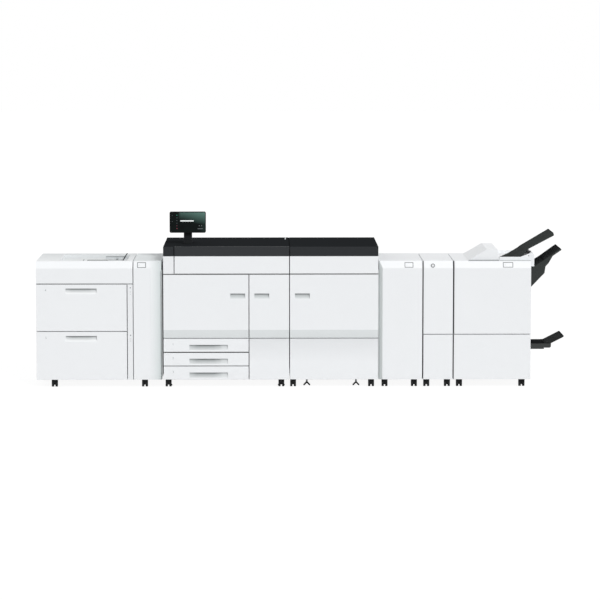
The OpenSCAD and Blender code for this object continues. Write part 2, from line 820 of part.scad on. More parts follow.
module console_screen() color("#0c1f1c") {
    x0 = console_x - console_w / 2 + shell_t;
    y0 = console_back_y - console_t;
    round_slab(x0, x0 + console_w - shell_t * 2, y0, y0 + glass_t,
        console_z0 + shell_t, console_z0 + console_h - shell_t, shell_t);
}

// Fusing cabinet

fusing_left = x_fusing + half_seam;
fusing_right = x_decurler - half_seam;
fuser_x = x_fusing + fusing_w * inside_share;
heat_z = path_z + slot_h / 2 + roll_touch / 2 + heat_r;
press_z = path_z + slot_h / 2 - roll_touch / 2 - press_r;

// The mains inlet is a pocket through the rear wall, with three pins at its back
inlet_w = 50;
inlet_h = 32;
inlet_d = 26;
inlet_rise = 60;
inlet_x_share = 0.88;
inlet_pin_r = 2.5;
inlet_pin_l = 14;
inlet_pin_shares = [0.22, 0.5, 0.78];
inlet_x0 = x_fusing + fusing_w * inlet_x_share - inlet_w / 2;
inlet_z0 = base_z + inlet_rise;
inlet_back_y = engine_rear_y - inlet_d;

module fusing_frame() color("gainsboro") {
    difference() {
        union() {
            fusing_shell();
            block([inlet_x0 - shell_t, inlet_back_y - shell_t, inlet_z0 - shell_t],
                [inlet_x0 + inlet_w + shell_t, engine_rear_y - wall + over, inlet_z0 + inlet_h + shell_t]);
        }
        block([inlet_x0, inlet_back_y, inlet_z0],
            [inlet_x0 + inlet_w, engine_rear_y + over, inlet_z0 + inlet_h]);
    }
    for (s = inlet_pin_shares)
        rod_y(inlet_back_y - over, inlet_back_y + inlet_pin_l, inlet_x0 + inlet_w * s,
            inlet_z0 + inlet_h * inside_share, inlet_pin_r);
    bearing_plates(fusing_left + wall - over, fusing_right - wall + over, door_z, band_z,
        [[fuser_x, heat_z], [fuser_x, press_z]]);
    hinge_lugs(hinge_x(x_decurler, 1), engine_hinge_zs);
    docking(fusing_right - over, x_decurler + half_seam);
}

module fusing_shell() {
    difference() {
        block([fusing_left, frame_y, base_z], [fusing_right, engine_rear_y, black_z]);
        for (span = [[base_z + wall, door_z - wall / 2], [door_z + wall / 2, black_z + over]])
            block([fusing_left + wall, frame_y - over, span[0]],
                [fusing_right - wall, engine_rear_y - wall, span[1]]);
        rear_vent(fusing_left, fusing_right, base_z, engine_rear_y);
        rear_vent(fusing_left, fusing_right, door_z, engine_rear_y);
        rear_vent(fusing_left, fusing_right, band_z - vent_rise + vent_pitch, engine_rear_y);
        block([fusing_left - over, slot_y0, path_z], [fusing_right + over, slot_y1, path_z + slot_h]);
    }
}

module fusing_top() color("#26282a") {
    black_top(fusing_left, fusing_right);
    block([fusing_left, front_y, black_z], [fusing_right, frame_y + wall, engine_top_z]);
}

module fusing_door() engine_door(x_fusing, x_decurler, 1);

module heat_roll() color("#7a2f22") roller(fuser_x, heat_z, heat_r);
module pressure_roll() color("#55585a") roller(fuser_x, press_z, press_r);

// Panels that stay shut: each is screwed flat against the frame behind it
module fixed_panels() color("whitesmoke") {
    block([x_divider + half_seam, low_front_y, base_z + half_seam],
        [x_fusing - half_seam, frame_y, door_z - half_seam]);
    block([x_fusing + half_seam, low_front_y, base_z + half_seam],
        [x_decurler - half_seam, frame_y, door_z - half_seam]);
    block([x_fusing + half_seam, front_y, band_z + half_seam],
        [x_decurler - half_seam, frame_y, black_z]);
    block([x_folder + half_seam, front_y, base_z + half_seam],
        [x_finisher - half_seam, frame_y, lower_cover_z - half_seam]);
    block([x_finisher + half_seam, front_y, base_z + half_seam],
        [x_end - half_seam, frame_y, lower_cover_z - half_seam]);
}

// Decurler, folder and finisher share one kind of cabinet

module cabinet(x0, x1, door_z0, bores) {
    difference() {
        prism_x(x0 + half_seam, x1 - half_seam, concat(bent_line(frame_y, base_z),
            [[cabinet_rear_y, top_z], [cabinet_rear_y, base_z]]));
        block([x0 + half_seam + wall, front_y, base_z + wall],
            [x1 - half_seam - wall, cabinet_rear_y - wall, top_z - wall]);
        block([x0 + half_seam - over, slot_y0, path_z],
            [x0 + half_seam + wall + over, slot_y1, path_z + slot_h]);
        rear_vent(x0 + half_seam, x1 - half_seam, base_z, cabinet_rear_y);
    }
    bearing_plates(x0 + half_seam + wall - over, x1 - half_seam - wall + over,
        base_z + wall - over, top_z - wall + over, bores);
    hinge_lugs(hinge_x(x1, 1), hinge_zs(door_z0, bevel_z));
}

module right_slot(x1) {
    block([x1 - half_seam - wall - over, slot_y0, path_z], [x1, slot_y1, path_z + slot_h]);
}

module bevelled_door(x0, x1, z0) difference() {
    prism_x(x0 + half_seam, x1 - half_seam,
        thick_line(bent_line(front_y, z0 + half_seam), panel_t));
    hinge_cuts(hinge_x(x1, 1), 1, hinge_zs(z0, bevel_z));
}

decurl_x = x_decurler + decurler_w * inside_share;
decurl_upper_z = path_z + slot_h / 2 + roll_touch / 2 + roll_r;
decurl_lower_z = path_z + slot_h / 2 - roll_touch / 2 - small_roll_r;

module decurler_cabinet() color("gainsboro") {
    difference() {
        cabinet(x_decurler, x_folder, base_z, [[decurl_x, decurl_upper_z], [decurl_x, decurl_lower_z]]);
        right_slot(x_folder);
        // the chamfer on the left edge runs on into the frame
        edge_chamfer(frame_y - panel_t);
    }
    docking(x_folder - half_seam - over, x_folder + half_seam);
}

// An upright wedge that takes off the decurler's front left edge
module edge_chamfer(y) {
    x = x_decurler + half_seam;
    translate([0, 0, base_z - over]) linear_extrude(cabinet_h + over * 2)
        polygon([[x - over, y - over], [x + chamfer_w, y - over], [x + chamfer_w, y],
            [x, y + chamfer_w], [x - over, y + chamfer_w]]);
}

module decurler_door() color("whitesmoke") difference() {
    bevelled_door(x_decurler, x_folder, base_z);
    edge_chamfer(front_y);
}

module decurl_roller_upper() color("silver") roller(decurl_x, decurl_upper_z, roll_r);
module decurl_roller_lower() color("#4a4d50") roller(decurl_x, decurl_lower_z, small_roll_r);

fold_x = x_folder + folder_w * inside_share;
fold_upper_z = path_z + slot_h / 2 + roll_touch / 2 + roll_r;
fold_lower_z = path_z + slot_h / 2 - roll_touch / 2 - roll_r;

module folder_cabinet() color("gainsboro") {
    difference() {
        cabinet(x_folder, x_finisher, lower_cover_z, [[fold_x, fold_upper_z], [fold_x, fold_lower_z]]);
        right_slot(x_finisher);
    }
    block([x_folder + half_seam, frame_y, lower_cover_z - wall / 2],
        [x_finisher - half_seam, plate_y + wall, lower_cover_z + wall / 2]);
    docking(x_finisher - half_seam - over, x_finisher + half_seam);
}

button_dx = 79;
button_drop = 36;
button_x = x_folder + button_dx;
button_z = top_z - button_drop;
button_stem_r = 5;

// The ring button sits on a flat boss of the bevel, and its stem runs through the door
module folder_door() color("whitesmoke") difference() {
    union() {
        bevelled_door(x_folder, x_finisher, lower_cover_z);
        rod_y(button_seat_y, button_end_y, button_x, button_z, button_r + over);
    }
    rod_y(front_y - over, button_seat_y, button_x, button_z, button_r + over / 2);
    rod_y(front_y - over, frame_y + bevel_d, button_x, button_z, button_stem_r + fit);
}

button_seat_y = front_y + button_travel + shell_t;
button_end_y = back_y + bevel_d * inside_share;

module folder_button() color("#55585c") {
    rod_y(button_seat_y - shell_t, button_seat_y - button_travel - clear / 2, button_x, button_z, button_r);
    rod_y(button_seat_y - shell_t, button_end_y, button_x, button_z, button_stem_r);
}

module fold_roller_upper() color("#4a4d50") roller(fold_x, fold_upper_z, roll_r);
module fold_roller_lower() color("#4a4d50") roller(fold_x, fold_lower_z, roll_r);

exit_z = bevel_z + slot_h;
exit_r = 14;
exit_tyre_r = 18;
exit_tyre_shares = [0.2, 0.5, 0.8];
exit_x = x_end - half_seam - wall - exit_tyre_r - roller_gap;
exit_roll_z = exit_z - exit_tyre_r;
booklet_slot_z = base_z + booklet_lift + booklet_h + slot_h / 2;
booklet_set = 150;
booklet_y0 = front_y + booklet_set;

module finisher_cabinet() color("gainsboro") {
    difference() {
        cabinet(x_finisher, x_end, lower_cover_z, [[exit_x, exit_roll_z]]);
        block([x_end - half_seam - wall - over, slot_y0, exit_z],
            [x_end, slot_y1, exit_z + slot_h]);
        block([x_end - half_seam - wall - over, booklet_y0 + shell_t, booklet_slot_z],
            [x_end, booklet_y0 + booklet_w - shell_t, booklet_slot_z + slot_h]);
        // the opening in the deck through which sheets reach the hood
        block([hood_x0 + hood_w * inside_share, slot_y0, top_z - wall - over],
            [hood_x1 - shell_t - slot_h, slot_y1, top_z + over]);
    }
    block([x_finisher + half_seam, frame_y, lower_cover_z - wall / 2],
        [x_end - half_seam, plate_y + wall, lower_cover_z + wall / 2]);
    hood_lugs();
    stacker_rails();
}

module finisher_door() color("whitesmoke") bevelled_door(x_finisher, x_end, lower_cover_z);

module exit_roller() color("silver") {
    rod_y(plate_y - shaft_end, plate_rear_y + shaft_end, exit_x, exit_roll_z, shaft_r);
    rod_y(plate_y + wall + roller_gap, plate_rear_y - wall - roller_gap, exit_x, exit_roll_z, exit_r);
    for (s = exit_tyre_shares)
        rod_y(slot_y0 + slot_w * s - exit_tyre_r, slot_y0 + slot_w * s + exit_tyre_r,
            exit_x, exit_roll_z, exit_tyre_r);
}

// Hood over the upper transport, hinged along its rear edge

hood_dx = 119;
hood_x0 = x_finisher + hood_dx;
hood_x1 = hood_x0 + hood_w;
hood_y0 = front_y + bevel_d + panel_t + seam;
hood_rear = 60;
hood_y1 = cabinet_rear_y - hood_rear;
hood_slope_share = 0.61;
hood_crown_share = 0.955;
hood_ear_wall = 4.5;
hood_ear_r = pin_r + hood_ear_wall;
hood_lug_gap = 3.3;
hood_pivot_y = hood_y1 + lug_r + hood_lug_gap;
hood_pivot_z = top_z + hood_ear_r + clear * 2;
hood_ear_shares = [0.3, 0.8];
hood_ear_xs = [for (s = hood_ear_shares) hood_x0 + hood_w * s];

function hood_outline(t) = [[hood_x0 + t * 2, top_z + clear - (t > 0 ? over : 0)],
    [hood_x0 + hood_w * hood_slope_share + t / 2, top_z + hood_h - t],
    [hood_x0 + hood_w * hood_crown_share - t / 2, top_z + hood_h - t],
    [hood_x1 - t, top_z + clear - (t > 0 ? over : 0)]];

module finisher_hood() color("whitesmoke") {
    difference() {
        prism_y(hood_y0, hood_y1, hood_outline(0));
        prism_y(hood_y0 + shell_t, hood_y1 - shell_t, hood_outline(shell_t));
        block([hood_x0 + hood_w * hood_crown_share, slot_y0, top_z + bay_h + slot_h],
            [hood_x1 + over, slot_y1, top_z + bay_h + slot_h * 2]);
    }
    for (x = hood_ear_xs) difference() {
        union() {
            block([x, hood_y1 - over, hood_pivot_z - hood_ear_r],
                [x + lug_h, hood_pivot_y, hood_pivot_z + hood_ear_r]);
            rod_x(x, x + lug_h, hood_pivot_y, hood_pivot_z, hood_ear_r);
        }
        rod_x(x - over, x + lug_h + over, hood_pivot_y, hood_pivot_z, pin_r + fit);
    }
}

module hood_lugs() for (x = hood_ear_xs) {
    for (lx = [x - lug_h - clear, x + lug_h + clear])
        block([lx, hood_pivot_y - lug_r, top_z - over],
            [lx + lug_h, hood_pivot_y + lug_r, hood_pivot_z + lug_r]);
    rod_x(x - lug_h, x + lug_h * 2, hood_pivot_y, hood_pivot_z, pin_r);
}

// Tray bay beside the hood, with the bracket that overhangs the cabinet's side

bay_x0 = x_end - bay_w;
bay_y0 = hood_y0;
bay_y1 = hood_y1;
bay_rise = 32;
bay_low_share = 0.67;
bracket_drop = 48;
lever_dx = 18;
lever_x = x_end - lever_dx;
lever_rise_share = 0.3;
lever_z = top_z + bay_h + bay_rise * lever_rise_share;
lever_pin_r = 3;

module tray_bay() color("whitesmoke") difference() {
    prism_y(bay_y0, bay_y1, [[bay_x0, top_z], [bay_x0, top_z + bay_h],
        [bay_x0 + bay_w * bay_low_share, top_z + bay_h], [x_end, top_z + bay_h + bay_rise],
        [x_end + bracket_w, top_z + bay_h + bay_rise - slot_h],
        [x_end + bracket_w, top_z - bracket_drop], [x_end + clear, top_z - bracket_drop],
        [x_end + clear, top_z]]);
    block([bay_x0 - over, bay_y0 + wall, top_z + shell_t],
        [x_end - shell_t, bay_y1 - wall, top_z + bay_h + bay_rise + over]);
    block([x_end + shell_t, bay_y0 + wall, top_z - bracket_drop - over],
        [x_end + bracket_w - shell_t, bay_y1 - wall, top_z + shell_t]);
    block([x_end - over, slot_y0, top_z - bracket_drop - over],
        [x_end + bracket_w + over, slot_y1, top_z - shell_t]);
    rod_y(bay_y0 - over, bay_y0 + wall + over, lever_x, lever_z, lever_pin_r + fit);
}

lever_l = 38;
lever_w = 6;
lever_hub_r = 5;
lever_shares = [[-0.1, 0], [0, 0.65], [0.45, 1.04], [0.58, 0.98], [0.16, 0.55], [0.1, 0]];

// A small bent flag that a rising stack of sheets lifts
module paper_lever() color("#1c1e1f") {
    y0 = bay_y0 + wall + clear;
    rod_y(bay_y0 - lever_w / 2, y0 + lever_w, lever_x, lever_z, lever_pin_r);
    rod_y(y0, y0 + lever_w, lever_x, lever_z, lever_hub_r);
    tray_plate(lever_x, lever_z, y0, y0 + lever_w, lever_l, lever_l, lever_shares);
}

// Output trays: outlines as shares of their reach and rise

top_tray_tip_shares = [[1, 0.88], [1, 0.93], [0.988, 1]];
top_tray_knee_shares = [[0.86, 0.945], [0.793, 0.764], [0.47, 0.166], [0, 0.166]];
top_tray_foot_in = 66.5;
top_tray_arm_in = 14.5;
top_tray_arm_gap = 21.5;
stacker_shares = [[0, 0.519], [0, 0], [0.46, 0.372], [0.49, 0.538], [0.59, 0.623], [0.72, 0.802],
    [1, 0.953], [1, 0.972], [0.97, 1], [0.43, 0.698], [0.12, 0.548]];
top_tray_x = bay_x0 + shell_t;
top_tray_z = top_z + shell_t;
top_tray_set = 150;
top_tray_y0 = front_y + top_tray_set;
stacker_set = 100;
stacker_y0 = front_y + stacker_set;
stacker_x = x_end + clear;
stacker_z = base_z + stacker_foot_h;

module tray_plate(x, z, y0, y1, l, rise, shares) {
    prism_y(y0, y1, [for (s = shares) [x + l * s[0], z + rise * s[1]]]);
}

// The foot lies in the bay, the knee clears the bay's outer wall, and the arm rises to the tip
module top_tray() color("#222426") {
    knee_x = x_end - top_tray_arm_in - top_tray_x;
    knee_z = bay_h + bay_rise - shell_t + top_tray_arm_gap;
    outline = concat([[0, 0], [x_end - top_tray_foot_in - top_tray_x, 0], [knee_x, knee_z]],
        [for (s = top_tray_tip_shares) [top_tray_l * s[0], top_tray_rise * s[1]]],
        [for (s = top_tray_knee_shares) [knee_x * s[0], knee_z * s[1]]]);
    wing_x = knee_x * top_tray_knee_shares[2][0];
    difference() {
        prism_y(top_tray_y0, top_tray_y0 + out_tray_w,
            [for (p = outline) [top_tray_x + p[0], top_tray_z + p[1]]]);
        // the foot's rear corner is cut off at a slant, clear of the paper's edge
        translate([0, 0, top_tray_z - over])
            linear_extrude(knee_z)
                polygon([[top_tray_x - over, top_tray_y0],
                    [top_tray_x + wing_x, top_tray_y0 + out_tray_w + over],
                    [top_tray_x - over, top_tray_y0 + out_tray_w + over]]);
    }
}

stacker_rail_w = 18;
stacker_rail_t = 8;
stacker_rail_low = 380;
stacker_rail_share = 0.22;
stacker_rail_ys = [stacker_y0 + out_tray_w * stacker_rail_share,
    stacker_y0 + out_tray_w * (1 - stacker_rail_share)];

module stacker_rails() for (y = stacker_rail_ys)
    block([x_end - half_seam - over, y - stacker_rail_w / 2, stacker_z - stacker_rail_low],
        [x_end + stacker_rail_t, y + stacker_rail_w / 2, top_z - bracket_drop - seam]);

module stacker_tray() color("#222426") difference() {
    tray_plate(stacker_x, stacker_z, stacker_y0, stacker_y0 + out_tray_w, stacker_l, stacker_rise,
        stacker_shares);
    for (y = stacker_rail_ys)
        block([x_end - over, y - stacker_rail_w / 2 - clear, stacker_z - over],
            [x_end + stacker_rail_t + clear, y + stacker_rail_w / 2 + clear, stacker_z + stacker_rise]);
}

booklet_z = base_z + booklet_lift;
flap_x = x_end + flap_pivot_dx;
flap_z_share = 0.795;
flap_z = booklet_z + booklet_h * flap_z_share;
flap_pin_r = 4;
flap_lug_t = 12;
flap_lug_reach = 39;
flap_lug_r = 14;

module booklet_tray() color("#1c1e1f") {
    difference() {
        block([x_end - half_seam, booklet_y0, booklet_z],
            [x_end + booklet_l, booklet_y0 + booklet_w, booklet_z + booklet_h]);
        block([x_end + shell_t, booklet_y0 + shell_t, booklet_z + booklet_h - shell_t],
            [x_end + booklet_l + over, booklet_y0 + booklet_w - shell_t, booklet_z + booklet_h + over]);
    }
    // the arms that carry the flap's pin
    for (y = [booklet_y0, booklet_y0 + booklet_w - flap_lug_t]) {
        block([x_end + booklet_l - over, y, booklet_z + flap_r],
            [flap_x + flap_lug_reach - flap_lug_r, y + flap_lug_t, flap_z + flap_r]);
        block([flap_x + flap_lug_reach - flap_lug_r - over, y, booklet_z + flap_r + flap_lug_r],
            [flap_x + flap_lug_reach, y + flap_lug_t, flap_z + flap_r]);
        rod_y(y, y + flap_lug_t, flap_x + flap_lug_reach - flap_lug_r, booklet_z + flap_r + flap_lug_r,
            flap_lug_r);
    }
    rod_y(booklet_y0, booklet_y0 + booklet_w, flap_x, flap_z, flap_pin_r);
}

module booklet_flap() color("#1c1e1f") {
    y0 = booklet_y0 + flap_lug_t + clear;
    y1 = booklet_y0 + booklet_w - flap_lug_t - clear;
    dx = cos(flap_slope);
    dz = sin(flap_slope);
    nx = -dz * flap_r;
    nz = dx * flap_r;
    tx = flap_x + flap_l * dx;
    tz = flap_z + flap_l * dz;
    difference() {
        union() {
            rod_y(y0, y1, flap_x, flap_z, flap_r);
            rod_y(y0, y1, tx, tz, flap_r);
            prism_y(y0, y1, [[flap_x - nx, flap_z - nz], [tx - nx, tz - nz], [tx + nx, tz + nz],
                [flap_x + nx, flap_z + nz]]);
        }
        rod_y(y0 - over, y1 + over, flap_x, flap_z, flap_pin_r + fit);
    }
}

// Casters and feet

// Each cabinet's left and right casters, as shares of its width
caster_shares = [[0.142, 0.861], [0.04, 0.935], [0.04, 0.92], [0.145, 0.815], [0.14, 0.82], [0.085, 0.89]];
cabinet_xs = [x_feeder, x_imaging, x_fusing, x_decurler, x_folder, x_finisher];
cabinet_ws = [feeder_w, imaging_w, fusing_w, decurler_w, folder_w, finisher_w];
caster_xs = [for (i = [0:5], s = caster_shares[i]) cabinet_xs[i] + cabinet_ws[i] * s];
engine_caster_xs = [for (i = [1:2], s = caster_shares[i]) cabinet_xs[i] + cabinet_ws[i] * s];
shallow_caster_xs = [for (i = [0, 3, 4, 5], s = caster_shares[i]) cabinet_xs[i] + cabinet_ws[i] * s];
caster_front_y = front_y + caster_in;
caster_rear_y = cabinet_rear_y - caster_in;
engine_caster_rear_y = engine_rear_y - caster_in;
axle_half = wheel_gap / 2 + wheel_w;
fender_share = 1.15;
fender_z = wheel_r * fender_share;

// A fork has a fender over both wheels, a stem between them and the axle
module fork(x, y) {
    stem = wheel_gap / 2 - clear;
    difference() {
        block([x - axle_half, y - wheel_r, fender_z], [x + axle_half, y + wheel_r, base_z]);
        rod_x(x - axle_half - over, x + axle_half + over, y, wheel_r, wheel_r + clear * 2);
    }
    block([x - stem, y - wheel_r * inside_share, wheel_r - axle_r * 2],
        [x + stem, y + wheel_r * inside_share, base_z]);
    rod_x(x - axle_half, x + axle_half, y, wheel_r, axle_r);
}

module wheels(xs, y) difference() {
    for (x = xs, side = [-1, 1]) {
        wx = side > 0 ? x + wheel_gap / 2 : x - axle_half;
        rod_x(wx, wx + wheel_w, y, wheel_r, wheel_r);
    }
    rod_x(x_feeder, x_end, y, wheel_r, axle_r + fit);
}

module caster_forks() color("#1a1a1a") {
    for (x = caster_xs) fork(x, caster_front_y);
    for (x = shallow_caster_xs) fork(x, caster_rear_y);
    for (x = engine_caster_xs) fork(x, engine_caster_rear_y);
}

module front_wheels() color("#303030") wheels(caster_xs, caster_front_y);
module rear_wheels() color("#303030") wheels(shallow_caster_xs, caster_rear_y);
module engine_rear_wheels() color("#303030") wheels(engine_caster_xs, engine_caster_rear_y);

jack_shares = [0.196, 0.752];
foot_xs = [x_imaging + imaging_w * caster_shares[1][0], x_imaging + imaging_w * caster_shares[1][1],
    x_fusing + fusing_w * jack_shares[0], x_fusing + fusing_w * jack_shares[1]];
foot_in = wheel_r + pad_r + seam;

module levelling_feet() color("silver") for (x = foot_xs, y = [caster_front_y + foot_in,
    engine_caster_rear_y - foot_in]) {
    prism_y(y - foot_post_r, y + foot_post_r, [[x - pad_r, 0], [x - pad_r + pad_h, 0],
        [x, leg_rise - pad_h], [x + pad_r - pad_h, 0], [x + pad_r, 0], [x + pad_r, pad_h],
        [x, leg_rise + pad_h], [x - pad_r, pad_h]]);
    rod_z(leg_rise, base_z, x, y, foot_post_r);
}

feeder_frame();
feeder_top_cover();
feeder_door();
upper_drawer();
lower_drawer();
upper_lift_plate();
lower_lift_plate();
bypass_guide_front();
bypass_guide_rear();
feed_heads();
imaging_frame();
imaging_top();
toner_cover();
imaging_left_door();
imaging_right_door();
tray_1();
tray_2();
tray_3();
toner_cartridges();
drum_1();
drum_2();
drum_3();
drum_4();
transfer_belt();
belt_drive_roller();
belt_idle_roller();
console_post();
console_neck();
console_housing();
console_screen();
fusing_frame();
fusing_top();
fusing_door();
heat_roll();
pressure_roll();
fixed_panels();
decurler_cabinet();
decurler_door();
decurl_roller_upper();
decurl_roller_lower();
folder_cabinet();
folder_door();
folder_button();
fold_roller_upper();
fold_roller_lower();
finisher_cabinet();
finisher_door();
finisher_hood();
tray_bay();
top_tray();
paper_lever();
stacker_tray();
booklet_tray();
booklet_flap();
exit_roller();
caster_forks();
front_wheels();
rear_wheels();
engine_rear_wheels();
levelling_feet();
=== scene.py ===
import json
import math

import bmesh
import bpy
from mathutils import Matrix, Vector

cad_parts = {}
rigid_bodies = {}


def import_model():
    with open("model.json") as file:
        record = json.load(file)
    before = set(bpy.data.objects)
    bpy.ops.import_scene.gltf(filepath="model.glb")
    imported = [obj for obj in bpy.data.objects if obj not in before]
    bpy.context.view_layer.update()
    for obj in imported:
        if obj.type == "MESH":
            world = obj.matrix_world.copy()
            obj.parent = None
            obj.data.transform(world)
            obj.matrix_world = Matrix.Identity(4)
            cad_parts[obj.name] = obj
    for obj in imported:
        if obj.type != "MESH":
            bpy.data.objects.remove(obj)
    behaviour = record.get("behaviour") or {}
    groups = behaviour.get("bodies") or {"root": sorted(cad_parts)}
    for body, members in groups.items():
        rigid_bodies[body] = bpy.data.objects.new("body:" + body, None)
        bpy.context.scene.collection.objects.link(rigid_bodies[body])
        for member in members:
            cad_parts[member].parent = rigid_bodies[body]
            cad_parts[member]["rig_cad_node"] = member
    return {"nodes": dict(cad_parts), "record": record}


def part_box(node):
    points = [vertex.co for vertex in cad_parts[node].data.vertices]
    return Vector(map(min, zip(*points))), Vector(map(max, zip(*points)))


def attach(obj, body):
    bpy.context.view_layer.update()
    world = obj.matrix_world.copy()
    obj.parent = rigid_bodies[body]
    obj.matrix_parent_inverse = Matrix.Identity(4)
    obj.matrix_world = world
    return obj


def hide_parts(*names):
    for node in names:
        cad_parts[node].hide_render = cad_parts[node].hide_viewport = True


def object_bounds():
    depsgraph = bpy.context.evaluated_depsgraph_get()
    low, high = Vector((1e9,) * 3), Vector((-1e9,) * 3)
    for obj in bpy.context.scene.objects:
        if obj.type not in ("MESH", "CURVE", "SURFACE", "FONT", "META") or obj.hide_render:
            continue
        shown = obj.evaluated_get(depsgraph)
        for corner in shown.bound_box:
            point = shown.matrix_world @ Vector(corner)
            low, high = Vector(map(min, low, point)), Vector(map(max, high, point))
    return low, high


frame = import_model()
cad_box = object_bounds()
MM = 0.001

# The photograph was taken from the front, from far away and above the tops. The camera's place and
# turn are the best fit, without shift, to 41 edges that were measured in it: none is off by over
# a pixel.
line_left = cad_box[0].x
front_y = cad_box[0].y
camera_distance = 21674 * MM
camera_height = 2954 * MM
camera_along = 1832 * MM
photo_pixels = 600
focal_pixels = 2764.3
pitch = math.radians(5.953)
yaw = math.radians(0.654)
camera_data = bpy.data.cameras.new("camera")
camera_data.sensor_width = 36
camera_data.lens = camera_data.sensor_width * focal_pixels / photo_pixels
camera_data.clip_end = 200
camera = bpy.data.objects.new("camera", camera_data)
bpy.context.collection.objects.link(camera)
camera.location = (line_left + camera_along, front_y - camera_distance, camera_height)
camera.rotation_euler = (math.pi / 2 - pitch, 0, -yaw)
bpy.context.scene.camera = camera


# The light skin panels are moulded ABS and thin steel, powder coated in one near-white. They are
# made as shells with softly rolled edges, so each CAD panel is copied and its long edges bevelled.
def linear(hex_colour):
    """An sRGB hex colour as linear red, green, blue and alpha."""
    values = [int(hex_colour[i:i + 2], 16) / 255 for i in (1, 3, 5)]
    return (*[v / 12.92 if v <= 0.04045 else ((v + 0.055) / 1.055) ** 2.4 for v in values], 1)


def add(tree, kind, settings=None, **inputs):
    """Adds a node, sets its properties, and sets or links its inputs, named by their labels."""
    new = tree.nodes.new(kind)
    for key, value in (settings or {}).items():
        setattr(new, key, value)
    for key, value in inputs.items():
        socket = new.inputs[int(key[1:]) if key[0] == "_" else key.replace("_", " ")]
        if isinstance(value, bpy.types.NodeSocket):
            tree.links.new(value, socket)
        else:
            socket.default_value = value
    return new


def start_material(name):
    """A new material with its tree, its shader and its Object coordinates."""
    material = bpy.data.materials.new(name)
    material.use_nodes = True
    tree = material.node_tree
    return material, tree, tree.nodes["Principled BSDF"], add(tree, "ShaderNodeTexCoord").outputs["Object"]


drift_size, scuff_size = 450 * MM, 120 * MM
rubbed_gain, worn_gain = 0.06, 0.08


def moulded(name, colour, roughness, grain_mm, depth_mm, mottle=0.03, gloss=0.5):
    """A moulded or coated surface: fine grain, a slow change of tone, and some rubbed patches."""
    material, tree, shader, place = start_material(name)
    shader.inputs["Specular IOR Level"].default_value = gloss
    slow = add(tree, "ShaderNodeTexNoise", Vector=place, Scale=1 / drift_size, Detail=3.0)
    base = linear(colour)
    tone = add(tree, "ShaderNodeMix", {"data_type": "RGBA"}, Factor=slow.outputs["Fac"])
    tone.inputs["A"].default_value = tuple(min(1, c * (1 + mottle)) for c in base[:3]) + (1,)
    tone.inputs["B"].default_value = tuple(c * (1 - mottle) for c in base[:3]) + (1,)
    tree.links.new(tone.outputs["Result"], shader.inputs["Base Color"])
    scuff = add(tree, "ShaderNodeTexNoise", Vector=place, Scale=1 / scuff_size, Detail=6.0)
    sheen = add(tree, "ShaderNodeMapRange", Value=scuff.outputs["Fac"],
                _3=roughness - rubbed_gain, _4=roughness + worn_gain)
    tree.links.new(sheen.outputs["Result"], shader.inputs["Roughness"])
    grain = add(tree, "ShaderNodeTexNoise", Vector=place, Scale=1 / (grain_mm * MM), Detail=2.0)
    bump = add(tree, "ShaderNodeBump", Height=grain.outputs["Fac"], Distance=depth_mm * MM, Strength=1.0)
    tree.links.new(bump.outputs["Normal"], shader.inputs["Normal"])
    return material


def paint(obj, material):
    obj.data.materials.clear()
    obj.data.materials.append(material)


def choose(obj):
    """Makes obj the only selected object, and the active one."""
    bpy.ops.object.select_all(action="DESELECT")
    bpy.context.view_layer.objects.active = obj
    obj.select_set(True)


body_of_node = {n: b for b, group in frame["record"]["behaviour"]["bodies"].items() for n in group}
panel_depth, weld_within, upright_within, beside_within = 28 * MM, 0.01 * MM, 0.1 * MM, 0.2 * MM
flat_angle, sharp_angle, smooth_angle = math.radians(1), math.radians(18), math.radians(40)
corner_angle = 1.0


